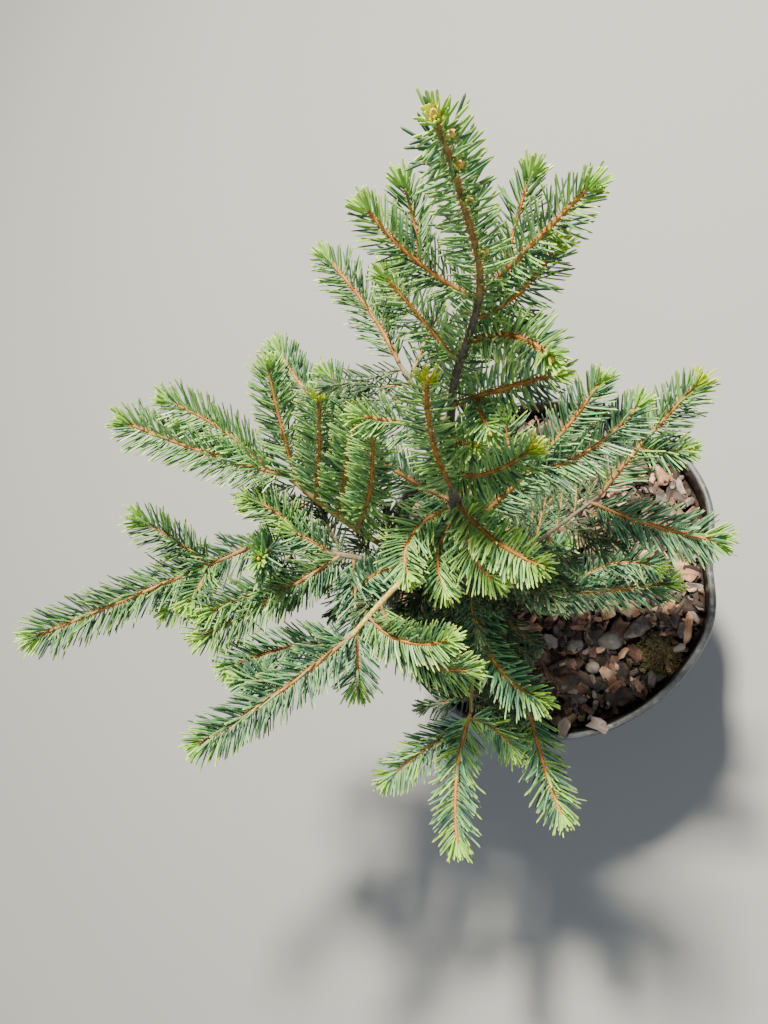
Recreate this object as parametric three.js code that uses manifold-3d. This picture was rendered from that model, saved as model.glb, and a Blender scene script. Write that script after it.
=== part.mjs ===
// A young blue-green spruce in a black nursery pot.
// Millimetres, +Z up. The origin is the centre of the pot's flat underside; +X points to the right of
// the photograph and +Y to its top. The plant leans a little to +X and +Y, as its leader does there.
import * as THREE from 'three';
import { mergeVertices } from 'three/addons/utils/BufferGeometryUtils.js';
import Module from 'manifold-3d';

const kernel = await Module();
kernel.setup();

// Pot: a thin tapered tub with a rolled lip, pressed a little flat on its right side.
const POT_HEIGHT = 190;
const RIM_RADIUS = 140;
const LIP_HEIGHT = 8;
const LIP_OVERHANG = 4.5;
const FOOT_RADIUS = 106;
const FOOT_RING = 5;
const WALL = 2.2;
const FLOOR = 3;
const POT_SIDES = 48;
const DENT_DEPTH = 9.5;
const DENT_BEARING = -5;
const DENT_SPREAD = 14;

// Substrate: bark up to 18 mm below the lip, uneven by a few millimetres, level round the trunk.
const SOIL_HEIGHT = 172;
const SOIL_BUMP = 3.2;
const SOIL_LEVEL_RADIUS = 16;

// Clear gap kept between one solid and the next.
const GAP = 0.3;

// Needles: their length, the angle they stand at to the shoot, and how thick a shoot's core is.
const NEEDLE = 19;
const NEEDLE_ANGLE = 58;
const CORE = 1.35;
const VALLEY = 0.46;
const TOOTH_PITCH = 15;
const BARE_FOOT = 5;

const rad = THREE.MathUtils.degToRad;
const V = (x, y, z) => new THREE.Vector3(x, y, z);

// A seeded draw between 0 and 1, the same in every run.
function seeded(seed) {
  let s = seed >>> 0;
  return () => {
    s = (s + 0x6d2b79f5) >>> 0;
    let t = Math.imul(s ^ (s >>> 15), 1 | s);
    t = (t + Math.imul(t ^ (t >>> 7), 61 | t)) ^ t;
    return ((t ^ (t >>> 14)) >>> 0) / 4294967296;
  };
}

// Trunk stations: height above the ground, where the trunk is at that height, and its radius.
const trunkStations = [
  { z: 172.3, x: -13, y: -29, r: 8.6 },
  { z: 190, x: -14, y: -31, r: 6.6 },
  { z: 250, x: -15, y: -34, r: 5.6 },
  { z: 325, x: -14, y: -36, r: 4.7 },
  { z: 395, x: 2, y: -4, r: 3.9 },
  { z: 465, x: 25, y: 25, r: 3.2 },
  { z: 530, x: 60, y: 40, r: 2.4 },
  { z: 590, x: 72, y: 40, r: 1.7 },
  { z: 635, x: 80, y: 29, r: 1.0 },
];
const TRUNK_FOOT = trunkStations[0].z;
const TRUNK_TIP = trunkStations[trunkStations.length - 1].z;

// The trunk at a height: a smooth line through the stations, with each station's slope taken from
// its two neighbours.
function trunkAt(z, key) {
  const s = trunkStations;
  let i = 0;
  while (i < s.length - 2 && z > s[i + 1].z) i += 1;
  const slope = (k) => {
    const a = s[Math.max(k - 1, 0)];
    const b = s[Math.min(k + 1, s.length - 1)];
    return (b[key] - a[key]) / (b.z - a.z);
  };
  const h = s[i + 1].z - s[i].z;
  const t = (z - s[i].z) / h;
  const t2 = t * t;
  const t3 = t2 * t;
  return (2 * t3 - 3 * t2 + 1) * s[i][key] + (t3 - 2 * t2 + t) * h * slope(i)
    + (3 * t2 - 2 * t3) * s[i + 1][key] + (t3 - t2) * h * slope(i + 1);
}
const trunkPoint = (z) => V(trunkAt(z, 'x'), trunkAt(z, 'y'), z);

// Boughs and shoots. Each leaves its parent at a height on the trunk, or at a fraction `at` of another
// limb. `bearing` is its compass direction halfway along, in degrees from +X towards +Y, `rise` its
// slope there, `turn` and `lift` how much the two change from foot to tip.
const boughs = [
  { name: 'bough_upper_left', height: 448, bearing: 124, rise: 20, length: 42, turn: -17, lift: 0, radius: 1.9 },
  { name: 'bough_left_high', height: 301, bearing: 146, rise: 38, length: 148, turn: -32, lift: 4, radius: 2.7 },
  { name: 'bough_left', height: 325, bearing: 169, rise: 25, length: 135, turn: 1, lift: 1, radius: 2.6 },
  { name: 'bough_left_front', height: 373, bearing: -140, rise: -2, length: 93, turn: 11, lift: 1, radius: 2.5 },
  { name: 'bough_right', height: 301, bearing: 26, rise: 20, length: 105, turn: -1, lift: 3, radius: 2.5 },
  { name: 'bough_front', height: 273, bearing: -100, rise: 4, length: 85, turn: 17, lift: -1, radius: 2.3 },
  { name: 'bough_front_right', height: 252, bearing: -77, rise: 2, length: 79, turn: -3, lift: 0, radius: 2.3 },
];

// Masses: one main shoot each, the side shoots that grow from it, and a number of seeded short twigs.
const masses = [
  { name: 'spray_crown_left', height: 525, bearing: 144, rise: 51, length: 59, turn: -46, lift: -1, twigs: 1 },
  { name: 'spray_crown_right', height: 528, bearing: 10, rise: 35, length: 63, turn: 5, lift: 1, twigs: 1 },
  { name: 'spray_crown_low', height: 514, bearing: 7, rise: 35, length: 53, turn: 55, lift: 4, twigs: 0 },
  { name: 'spray_crown_front', height: 500, bearing: -38, rise: 35, length: 70, turn: -49, lift: -7, twigs: 0 },
  { name: 'spray_upper_left', on: 'bough_upper_left', at: 1, bearing: 119, rise: 25, length: 68, turn: 24, lift: 2,
    twigs: 1 },
  { name: 'spray_upper_inner', height: 487, bearing: 125, rise: 54, length: 54, turn: 5, lift: -2, twigs: 0 },
  { name: 'spray_upright', height: 402, bearing: 45, rise: 73, length: 105, turn: -29, lift: -18, twigs: 0 },
  { name: 'spray_centre_front', height: 395, bearing: -42, rise: 30, length: 88, turn: 24, lift: 5, twigs: 0,
    sides: [{ at: 0.21, bearing: -69, rise: -4, length: 43, turn: 76, lift: 0 }] },
  { name: 'spray_centre_low', height: 382, bearing: -100, rise: -2, length: 49, turn: 84, lift: -1, twigs: 0 },
  { name: 'spray_inner_left', height: 438, bearing: 168, rise: 39, length: 51, turn: 26, lift: 1, twigs: 0 },
  { name: 'spray_inner_turned', height: 387, bearing: -115, rise: 24, length: 62, turn: 126, lift: -3, twigs: 0 },
  { name: 'spray_inner_right', height: 437, bearing: -35, rise: 50, length: 45, turn: -5, lift: 3, twigs: 0 },
  { name: 'spray_right_high', height: 462, bearing: -13, rise: 35, length: 76, turn: -2, lift: -2, twigs: 1 },
  { name: 'spray_back_left', height: 393, bearing: 135, rise: 12, length: 153, turn: -36, lift: -3, twigs: 1,
    sides: [{ at: 0.49, bearing: 101, rise: 28, length: 42, turn: 64, lift: 1 }] },
  { name: 'spray_left_high', on: 'bough_left_high', at: 1, bearing: 161, rise: 35, length: 107, turn: -12, lift: 3,
    twigs: 0, sides: [{ at: 0.11, bearing: 141, rise: 38, length: 78, turn: 35, lift: 1 }] },
  { name: 'spray_left_fan_a', on: 'bough_left_high', at: 0.93, bearing: 80, rise: 45, length: 83, turn: -14, lift: -2,
    twigs: 0 },
  { name: 'spray_left_fan_b', on: 'bough_left_high', at: 0.84, bearing: 39, rise: 54, length: 92, turn: 3, lift: 6,
    twigs: 0 },
  { name: 'spray_left_fan_c', on: 'bough_left_high', at: 0.71, bearing: 27, rise: 55, length: 110, turn: -14, lift: 2,
    twigs: 0 },
  { name: 'spray_left_fan_d', on: 'bough_left_high', at: 0.62, bearing: 25, rise: 57, length: 117, turn: 43, lift: 8,
    twigs: 0 },
  { name: 'spray_left', on: 'bough_left', at: 1, bearing: -150, rise: 30, length: 150, turn: 1, lift: 3, twigs: 1,
    sides: [{ at: 0.25, bearing: 136, rise: 51, length: 53, turn: 18, lift: 1 },
      { at: 0.21, bearing: -135, rise: 10, length: 46, turn: -31, lift: 1 }] },
  { name: 'spray_left_star', on: 'bough_left', at: 0.94, bearing: -42, rise: 59, length: 66, turn: 0, lift: 0,
    twigs: 0 },
  { name: 'spray_left_inner_a', on: 'bough_left', at: 0.82, bearing: 131, rise: 34, length: 49, turn: 78, lift: 1,
    twigs: 0 },
  { name: 'spray_left_inner_b', on: 'bough_left', at: 0.67, bearing: 149, rise: 41, length: 33, turn: 28, lift: 0,
    twigs: 0 },
  { name: 'spray_left_mid', on: 'bough_left', at: 0.62, bearing: -145, rise: 23, length: 103, turn: -6, lift: 1,
    twigs: 1, sides: [{ at: 0.33, bearing: -154, rise: 33, length: 62, turn: 28, lift: -1 }] },
  { name: 'spray_left_front', on: 'bough_left_front', at: 1, bearing: -141, rise: 22, length: 111, turn: -11,
    lift: -1, twigs: 1, sides: [{ at: 0.05, bearing: -169, rise: 9, length: 80, turn: 25, lift: -1 }] },
  { name: 'spray_front_inner_a', on: 'bough_left_front', at: 0.83, bearing: -17, rise: 13, length: 65, turn: 63,
    lift: 2, twigs: 0 },
  { name: 'spray_front_inner_b', on: 'bough_left_front', at: 0.71, bearing: -39, rise: -20, length: 75, turn: 90,
    lift: -2, twigs: 0 },
  { name: 'spray_left_under', on: 'bough_left', at: 0.56, bearing: -99, rise: -22, length: 92, turn: -6, lift: -1,
    twigs: 1, sides: [{ at: 0.25, bearing: 11, rise: 25, length: 52, turn: -48, lift: 0 }] },
  { name: 'spray_front_star', height: 296, bearing: -60, rise: 15, length: 97, turn: 76, lift: -7, twigs: 1 },
  { name: 'spray_front', on: 'bough_front', at: 1, bearing: -95, rise: 8, length: 86, turn: 30, lift: -1, twigs: 0,
    sides: [{ at: 0.09, bearing: -146, rise: 7, length: 69, turn: 14, lift: 0 },
      { at: 0.05, bearing: -40, rise: -20, length: 39, turn: -65, lift: 0 }] },
  { name: 'spray_front_right', on: 'bough_front_right', at: 1, bearing: -74, rise: 5, length: 78, turn: 10,
    lift: -1, twigs: 0 },
  { name: 'spray_right_under', height: 223, bearing: 1, rise: -1, length: 118, turn: 6, lift: 0, twigs: 0,
    sides: [{ at: 0.38, bearing: 10, rise: 11, length: 73, turn: -78, lift: -2 }] },
  { name: 'spray_right', on: 'bough_right', at: 1, bearing: 40, rise: 16, length: 85, turn: -9, lift: 1, twigs: 1 },
  { name: 'spray_right_tip', on: 'bough_right', at: 0.94, bearing: -22, rise: -10, length: 77, turn: 16, lift: 0,
    twigs: 0 },
  { name: 'spray_right_low', on: 'bough_right', at: 0.61, bearing: -95, rise: -50, length: 41, turn: 15, lift: 0,
    twigs: 0 },
  { name: 'spray_right_mid', height: 369, bearing: 33, rise: 22, length: 123, turn: 19, lift: 2, twigs: 0,
    sides: [{ at: 0.46, bearing: 23, rise: 8, length: 73, turn: 49, lift: 1 },
      { at: 0.34, bearing: 79, rise: 34, length: 45, turn: 9, lift: 1 }] },
  { name: 'spray_inner_fan', height: 416, bearing: -6, rise: 33, length: 65, turn: 55, lift: -1, twigs: 0 },
  { name: 'spray_back_low', height: 262, bearing: 100, rise: 16, length: 104, turn: 10, lift: 4, twigs: 2 },
  { name: 'spray_back_right_low', height: 240, bearing: 55, rise: 12, length: 96, turn: -8, lift: 4, twigs: 2 },
  { name: 'spray_back_left_low', height: 246, bearing: 150, rise: 12, length: 96, turn: 8, lift: 4, twigs: 2 },
  { name: 'spray_left_low', height: 232, bearing: -158, rise: 10, length: 92, turn: -6, lift: 4, twigs: 2 },
];

// The line of a limb: it starts at its foot and takes equal steps along its bearing and rise.
function limbLine(foot, limb, steps) {
  const points = [foot.clone()];
  const step = limb.length / steps;
  for (let i = 0; i < steps; i += 1) {
    const s = (i + 0.5) / steps - 0.5;
    const a = rad(limb.bearing + limb.turn * s);
    const e = rad(limb.rise + limb.lift * s);
    const d = V(Math.cos(e) * Math.cos(a), Math.cos(e) * Math.sin(a), Math.sin(e));
    points.push(points[i].clone().addScaledVector(d, step));
  }
  return points;
}

// A point a fraction t along a line of points.
function along(points, t) {
  const f = Math.min(Math.max(t, 0), 1) * (points.length - 1);
  const i = Math.min(Math.floor(f), points.length - 2);
  return points[i].clone().lerp(points[i + 1], f - i);
}

// Directions at each point of a line: forward, up (as near +Z as the foot allows) and right. They are
// carried from point to point without a twist.
function frames(points) {
  let right = null;
  return points.map((p, i) => {
    const a = points[Math.max(i - 1, 0)];
    const b = points[Math.min(i + 1, points.length - 1)];
    const forward = b.clone().sub(a).normalize();
    if (right) right = right.clone().addScaledVector(forward, -right.dot(forward)).normalize();
    else right = forward.clone().cross(Math.abs(forward.z) > 0.985 ? V(0, 1, 0) : V(0, 0, 1)).normalize();
    return { forward, right, up: right.clone().cross(forward) };
  });
}

// A closed geometry from a list of points and a list of triangles.
function closed(points, faces) {
  const g = new THREE.BufferGeometry();
  g.setAttribute('position', new THREE.Float32BufferAttribute(points.flatMap((p) => [p.x, p.y, p.z]), 3));
  g.setIndex(faces.flat());
  return g;
}

// three.js geometry to a solid and back.
function solid(geometry) {
  const g = geometry.clone();
  g.deleteAttribute('normal');
  g.deleteAttribute('uv');
  const m = mergeVertices(g, 1e-4);
  return new kernel.Manifold(new kernel.Mesh({
    numProp: 3,
    vertProperties: new Float32Array(m.attributes.position.array),
    triVerts: new Uint32Array(m.index.array),
  }));
}

function geometryOf(body) {
  const mesh = body.getMesh();
  const g = new THREE.BufferGeometry();
  g.setAttribute('position', new THREE.Float32BufferAttribute(mesh.vertProperties, 3));
  g.setIndex(Array.from(mesh.triVerts));
  g.computeVertexNormals();
  return g;
}

// A limb of bare wood: rings of a regular polygon along the line. A level foot is cut flat for the
// trunk, where it meets the ground.
function wood(points, radii, sides, levelFoot) {
  const dirs = frames(points);
  const verts = [];
  const faces = [];
  points.forEach((p, i) => {
    const flat = levelFoot && i === 0;
    const right = flat ? dirs[0].right.clone().setZ(0).normalize() : dirs[i].right;
    const up = flat ? right.clone().cross(V(0, 0, 1)) : dirs[i].up;
    for (let k = 0; k < sides; k += 1) {
      const a = (2 * Math.PI * k) / sides;
      verts.push(p.clone().addScaledVector(right, radii[i] * Math.cos(a)).addScaledVector(up, radii[i] * Math.sin(a)));
    }
  });
  const rings = points.length;
  for (let i = 0; i < rings - 1; i += 1) {
    for (let k = 0; k < sides; k += 1) {
      const a = i * sides + k;
      const b = i * sides + ((k + 1) % sides);
      faces.push([a, a + sides, b], [b, a + sides, b + sides]);
    }
  }
  for (let k = 1; k < sides - 1; k += 1) {
    const e = (rings - 1) * sides;
    faces.push([0, k, k + 1], [e, e + k + 1, e + k]);
  }
  return closed(verts, faces);
}

// Lines of every limb first, so that each mass knows where the others are.
const TRUNK_RINGS = 20;
const trunkHeights = Array.from({ length: TRUNK_RINGS + 1 }, (_, i) => {
  const t = i / TRUNK_RINGS;
  return TRUNK_FOOT + (TRUNK_TIP - TRUNK_FOOT) * (t < 0.1 ? t * 0.6 : 0.06 + (t - 0.1) * (0.94 / 0.9));
});
const trunkLine = trunkHeights.map(trunkPoint);
const trunkRadii = trunkHeights.map((z) => trunkAt(z, 'r'));
const lines = { trunk: trunkLine };
const footOf = (limb) => (limb.on ? along(lines[limb.on], limb.at) : trunkPoint(limb.height));

const BOUGH_STEPS = 7;
boughs.forEach((b) => {
  lines[b.name] = limbLine(footOf(b), b, BOUGH_STEPS);
});

// A bough's radius shrinks evenly from its foot to its tip.
const boughRadii = (b) => lines[b.name].map((_, i) => b.radius * (1 - 0.32 * (i / BOUGH_STEPS)));

// The named shoots of a mass: the main one, then the side shoots that grow from it.
const stepsOf = (length) => Math.max(3, Math.round(length / TOOTH_PITCH));
const grown = masses.map((mass) => {
  const main = limbLine(footOf(mass), mass, stepsOf(mass.length));
  const shoots = [{ points: main, root: BARE_FOOT }];
  (mass.sides || []).forEach((side) => {
    shoots.push({ points: limbLine(along(main, side.at), side, stepsOf(side.length)), root: 0 });
  });
  return { name: mass.name, on: mass.on || 'trunk', shoots };
});

// The leader's own needles are a sleeve round the top of the trunk.
const LEADER_FOOT = 540;
const LEADER_STEPS = 7;
const LEADER_WALL = 1.3;
const leaderLine = Array.from({ length: LEADER_STEPS + 1 }, (_, i) => (
  trunkPoint(LEADER_FOOT + (TRUNK_TIP + 1.6 - LEADER_FOOT) * (i / LEADER_STEPS))
));
grown.push({ name: 'spray_leader', on: 'trunk', shoots: [{ points: leaderLine, root: 0, sleeve: true }] });

// Marks along every limb, each with the room that its wood takes up.
const marks = [];
function mark(owner, points, radius, leafy) {
  const count = (points.length - 1) * 4;
  for (let i = 0; i <= count; i += 1) marks.push({ owner, p: along(points, i / count), r: radius, leafy });
}
trunkStations.slice(0, -1).forEach((s, i) => {
  const next = trunkStations[i + 1];
  for (let k = 0; k < 10; k += 1) {
    const z = s.z + ((next.z - s.z) * k) / 10;
    const leafy = z > LEADER_FOOT;
    marks.push({ owner: leafy ? 'spray_leader' : 'trunk', p: trunkPoint(z), r: trunkAt(z, 'r'), leafy });
  }
});
boughs.forEach((b) => mark(b.name, lines[b.name], b.radius, false));
grown.forEach((m) => m.shoots.forEach((s) => mark(m.name, s.points, CORE, true)));

// How far needles may reach from p towards `way` before they leave their own mass's space, which ends
// half way to the nearest shoot of another mass or limb, and above the pot and the bark in it.
const SPACE_MARGIN = 1.5;
const REACHES = [1, 0.88, 0.76, 0.64, 0.52, 0.4, 0.28, 0.16, 0];
function reachFrom(p, way, owner, most) {
  const near = marks.filter((m) => m.owner !== owner && m.p.distanceTo(p) < 2 * most + 8);
  const found = REACHES.find((share) => {
    const r = most * share;
    const end = p.clone().addScaledVector(way, r);
    if (end.z < SOIL_HEIGHT + SOIL_BUMP + 2) return false;
    if (Math.hypot(end.x, end.y) > RIM_RADIUS - 25 && end.z < POT_HEIGHT + 3) return false;
    return near.every((m) => end.distanceTo(m.p) > Math.max(r, m.r) + SPACE_MARGIN);
  });
  return most * (found || 0);
}

// The room round p, the same in every direction.
function room(p, owner) {
  return marks.reduce((least, m) => (m.owner === owner ? least : Math.min(least, p.distanceTo(m.p) - m.r)), NEEDLE);
}

// Short twigs by a seeded rule, left and right in turn on the older half of each main shoot. A twig
// that would come near another mass or a limb is skipped.
const TWIG_CLEARANCE = 6;
masses.forEach((mass, index) => {
  const draw = seeded(7000 + 97 * index);
  const main = grown[index].shoots[0].points;
  for (let k = 0; k < mass.twigs; k += 1) {
    const at = 0.24 + 0.42 * ((k + 0.6 * draw()) / mass.twigs);
    const hand = (k + index) % 2 ? 1 : -1;
    const twig = {
      bearing: mass.bearing + mass.turn * (at - 0.5) + hand * (46 + 12 * draw()),
      rise: mass.rise * 0.6 + 6 * draw(),
      length: 26 + 12 * draw(),
      turn: -hand * 18,
      lift: 6,
    };
    const points = limbLine(along(main, at), twig, stepsOf(twig.length));
    const clear = points.every((p) => room(p, mass.name) > TWIG_CLEARANCE);
    if (clear) {
      grown[index].shoots.push({ points, root: 0 });
      mark(mass.name, points, CORE, true);
    }
  }
});

// One shoot with its needles: three toothed blades that stand out of a slim core, one up and one to
// each side. Each tooth stands for the needles of one length of the shoot. Where there is no room for
// a tooth it is left out, and the blade keeps close to the core.
const ARMS = [-18, 90, 198];
const CREASES = [36, 144, 270];
const LEAST_TOOTH = 3.2;
const TIP_NEEDLES = 8.5;
function bladedShoot(shoot, owner, draw) {
  const { points, root, sleeve } = shoot;
  const dirs = frames(points);
  const last = points.length - 1;
  const verts = [];
  const faces = [];
  const add = (v) => verts.push(v) - 1;
  const outward = (i, angle) => dirs[i].right.clone().multiplyScalar(Math.cos(rad(angle)))
    .addScaledVector(dirs[i].up, Math.sin(rad(angle)));
  const place = (i, angle, r) => add(points[i].clone().addScaledVector(outward(i, angle), r));
  const grownTo = (walked) => (root ? NEEDLE * Math.min(1, Math.max(0, (walked - root) / 13)) : NEEDLE);
  let walked = 0;
  const rings = points.map((p, i) => {
    if (i > 0) walked += p.distanceTo(points[i - 1]);
    const core = sleeve ? trunkAt(Math.min(p.z, TRUNK_TIP), 'r') + LEADER_WALL : CORE;
    const most = grownTo(walked) * VALLEY * (i === last ? 0.5 : 1);
    const ring = [];
    ARMS.forEach((a, k) => {
      const valley = i === 0 ? 0 : reachFrom(p, outward(i, a), owner, most);
      ring.push(place(i, a, Math.max(core * 1.12, valley)));
      ring.push(place(i, CREASES[k], core));
    });
    return ring;
  });
  const foot = add(points[0].clone());
  const ahead = Math.max(2, reachFrom(points[last], dirs[last].forward, owner, TIP_NEEDLES));
  const tip = add(points[last].clone().addScaledVector(dirs[last].forward, ahead));
  for (let k = 0; k < 6; k += 1) {
    const j = (k + 1) % 6;
    faces.push([foot, rings[0][k], rings[0][j]], [tip, rings[last][j], rings[last][k]]);
  }
  let passed = 0;
  for (let i = 0; i < last; i += 1) {
    const middle = points[i].clone().lerp(points[i + 1], 0.5);
    passed += points[i].distanceTo(points[i + 1]);
    ARMS.forEach((arm, k) => {
      const v0 = rings[i][2 * k];
      const v1 = rings[i + 1][2 * k];
      const after0 = rings[i][2 * k + 1];
      const after1 = rings[i + 1][2 * k + 1];
      const before0 = rings[i][(2 * k + 5) % 6];
      const before1 = rings[i + 1][(2 * k + 5) % 6];
      const way = outward(i, arm + 10 * (draw() - 0.5)).multiplyScalar(Math.sin(rad(NEEDLE_ANGLE)))
        .addScaledVector(dirs[i].forward, Math.cos(rad(NEEDLE_ANGLE)));
      const reach = reachFrom(middle, way, owner, grownTo(passed) * (0.92 + 0.08 * draw()));
      if (reach < LEAST_TOOTH) {
        faces.push([after0, v0, v1], [after0, v1, after1], [before0, before1, v1], [before0, v1, v0]);
        return;
      }
      const t = add(middle.clone().addScaledVector(way, reach));
      faces.push([after0, v0, t], [after0, t, v1], [after0, v1, after1]);
      faces.push([before0, before1, v1], [before0, v1, t], [before0, t, v0]);
    });
  }
  return closed(verts, faces);
}

// Wood with its clear gap: what is cut out of a mass where it meets the trunk or a bough.
function cutter(points, radii, sides) {
  const n = points.length - 1;
  const ahead = points[n].clone().sub(points[n - 1]).normalize();
  const longer = [...points.slice(0, n), points[n].clone().addScaledVector(ahead, GAP + 0.05)];
  return solid(wood(longer, radii.map((r) => r + GAP + 0.05), sides, false));
}
const TRUNK_SIDES = 10;
const BOUGH_SIDES = 7;
const cutters = { trunk: cutter(trunkLine, trunkRadii, TRUNK_SIDES) };
boughs.forEach((b) => {
  cutters[b.name] = cutter(lines[b.name], boughRadii(b), BOUGH_SIDES);
});

// Round shapes of the pot and what fills it, all pressed in alike by the flat on the right side.
function turned(profile) {
  const g = new THREE.LatheGeometry(profile.map(([r, z]) => new THREE.Vector2(r, z)), POT_SIDES);
  g.rotateX(Math.PI / 2);
  return g;
}
function pressIn(g) {
  const p = g.attributes.position;
  for (let i = 0; i < p.count; i += 1) {
    const r = Math.hypot(p.getX(i), p.getY(i));
    if (r < FOOT_RADIUS * 0.9) continue;
    const away = THREE.MathUtils.radToDeg(Math.atan2(p.getY(i), p.getX(i))) - DENT_BEARING;
    const press = DENT_DEPTH * (p.getZ(i) / POT_HEIGHT) * Math.exp(-((away / DENT_SPREAD) ** 2));
    p.setXY(i, p.getX(i) * (1 - press / r), p.getY(i) * (1 - press / r));
  }
  return g;
}
const WALL_TOP_RADIUS = RIM_RADIUS - LIP_OVERHANG;
const LIP_FOOT = POT_HEIGHT - LIP_HEIGHT;
const innerRadius = (z) => FOOT_RADIUS - WALL + (WALL_TOP_RADIUS - FOOT_RADIUS) * (z / POT_HEIGHT);

const potProfile = [
  [0, 0],
  [FOOT_RADIUS - FOOT_RING, 0],
  [FOOT_RADIUS - 1.2, 0.4],
  [FOOT_RADIUS, 2.4],
  [WALL_TOP_RADIUS - 1, LIP_FOOT],
  [RIM_RADIUS - 0.8, LIP_FOOT],
  [RIM_RADIUS, LIP_FOOT + 1.2],
  [RIM_RADIUS, POT_HEIGHT - 2.6],
  [RIM_RADIUS - 1.6, POT_HEIGHT - 0.4],
  [RIM_RADIUS - 3.4, POT_HEIGHT],
  [innerRadius(POT_HEIGHT - 1.4), POT_HEIGHT - 1.4],
  [innerRadius(FLOOR), FLOOR],
  [0, FLOOR],
];
// Turned from the inside out, so that its inner wall is divided as the bark's side is.
const pot = pressIn(turned(potProfile.reverse()));
for (let i = 0; i < pot.index.count; i += 3) {
  const b = pot.index.getX(i + 1);
  pot.index.setX(i + 1, pot.index.getX(i + 2));
  pot.index.setX(i + 2, b);
}

// Bark in the pot: an even fill with an uneven top that is level where the trunk comes out of it.
const soilEdge = innerRadius(SOIL_HEIGHT) - GAP - 0.25;
const SOIL_RINGS = 6;
const soilProfile = [[0, FLOOR + GAP], [innerRadius(FLOOR + GAP) - GAP - 0.25, FLOOR + GAP], [soilEdge, SOIL_HEIGHT]];
for (let i = SOIL_RINGS - 1; i >= 0; i -= 1) soilProfile.push([soilEdge * (i / SOIL_RINGS), SOIL_HEIGHT]);
const substrate = pressIn(turned(soilProfile));
const soil = substrate.attributes.position;
for (let i = 0; i < soil.count; i += 1) {
  const x = soil.getX(i);
  const y = soil.getY(i);
  if (soil.getZ(i) < SOIL_HEIGHT - 1) continue;
  const fromTrunk = Math.hypot(x - trunkStations[0].x, y - trunkStations[0].y);
  const rim = Math.min(1, Math.max(0, (soilEdge - 14 - Math.hypot(x, y)) / 20));
  const ease = rim * Math.min(1, Math.max(0, (fromTrunk - SOIL_LEVEL_RADIUS) / 14));
  const wave = Math.sin(x * 0.083 + 1.3) * Math.cos(y * 0.071 - 0.6) + 0.5 * Math.sin((x + y) * 0.13);
  soil.setZ(i, SOIL_HEIGHT + SOIL_BUMP * ease * wave * 0.66);
}

// Materials: colours as the photograph shows them.
const paint = (color, roughness) => new THREE.MeshStandardMaterial({ color, roughness, metalness: 0, flatShading: true });
const group = new THREE.Group();
group.name = 'potted_spruce';
function put(name, geometry, material) {
  const mesh = new THREE.Mesh(geometry, material);
  mesh.name = name;
  group.add(mesh);
}
put('pot', geometryOf(solid(pot)), paint('#26282a', 0.55));
put('substrate', geometryOf(solid(substrate)), paint('#7a5a49', 0.95));
put('trunk', geometryOf(solid(wood(trunkLine, trunkRadii, TRUNK_SIDES, true))), paint('#7d7468', 0.85));

// A bough starts inside the trunk and is cut clear of it.
boughs.forEach((b) => {
  const whole = solid(wood(lines[b.name], boughRadii(b), BOUGH_SIDES, false));
  put(b.name, geometryOf(whole.subtract(cutters.trunk)), paint('#8a755c', 0.85));
});

// A mass: its shoots joined, then cut clear of the limb that carries it.
const greens = ['#5f8a78', '#6d9a7c', '#557f74', '#79a37c'];
grown.forEach((mass, index) => {
  const draw = seeded(300 + 31 * index);
  const whole = mass.shoots.map((s) => solid(bladedShoot(s, mass.name, draw))).reduce((a, b) => a.add(b));
  put(mass.name, geometryOf(whole.subtract(cutters[mass.on])), paint(greens[index % greens.length], 0.7));
});

export default group;
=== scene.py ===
# %% [markdown]
# # A young blue-green spruce in a black nursery pot
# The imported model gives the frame: a pot, the bark in it, a trunk, seven boughs and forty-two masses
# of foliage, each a plain faceted solid. This lesson dresses that frame as the real plant. The pot
# and the bark are made again with their fine shapes, the wood gets its bark, and every mass is
# replaced by shoots with pegs, buds and single needles. Lengths are written in millimetres and turned
# to metres when a mesh is made.

# %% Load the frame
import math
import bpy
import numpy as np
from mathutils import Matrix, Vector


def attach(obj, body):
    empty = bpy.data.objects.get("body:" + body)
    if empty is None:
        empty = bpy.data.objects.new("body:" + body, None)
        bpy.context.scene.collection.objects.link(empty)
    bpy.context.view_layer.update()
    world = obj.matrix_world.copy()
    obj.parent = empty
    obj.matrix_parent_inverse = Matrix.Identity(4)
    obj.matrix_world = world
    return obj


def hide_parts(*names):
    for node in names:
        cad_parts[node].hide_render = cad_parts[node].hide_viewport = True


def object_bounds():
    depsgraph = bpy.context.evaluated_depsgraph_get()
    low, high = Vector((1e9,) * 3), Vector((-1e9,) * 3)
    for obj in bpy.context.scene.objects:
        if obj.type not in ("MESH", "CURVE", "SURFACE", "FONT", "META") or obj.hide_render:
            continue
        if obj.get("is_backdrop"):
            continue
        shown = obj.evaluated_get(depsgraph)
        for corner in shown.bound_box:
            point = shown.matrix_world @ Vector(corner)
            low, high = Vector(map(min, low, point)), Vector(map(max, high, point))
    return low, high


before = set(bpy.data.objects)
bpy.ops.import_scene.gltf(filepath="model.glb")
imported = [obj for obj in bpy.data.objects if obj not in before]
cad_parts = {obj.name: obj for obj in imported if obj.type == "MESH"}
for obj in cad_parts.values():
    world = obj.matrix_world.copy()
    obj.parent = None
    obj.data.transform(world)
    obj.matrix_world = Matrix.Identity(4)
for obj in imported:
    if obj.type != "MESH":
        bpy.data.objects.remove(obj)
cad_box = [list(corner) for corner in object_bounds()]
print("nodes in the frame:", len(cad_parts))
print("box of the solids, metres:", np.round(cad_box, 3).tolist())

# %% [markdown]
# ## Camera
# The photograph was taken by hand from above, about 0.8 m over the ground, with a wide lens. The
# camera could be aimed with a tracking constraint, but its roll would then be guessed. Its three axes
# are written out instead. A program made beforehand found them: it fitted the view, by least squares,
# to the pot's rim and shadow and to other outlines in the photograph.

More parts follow.
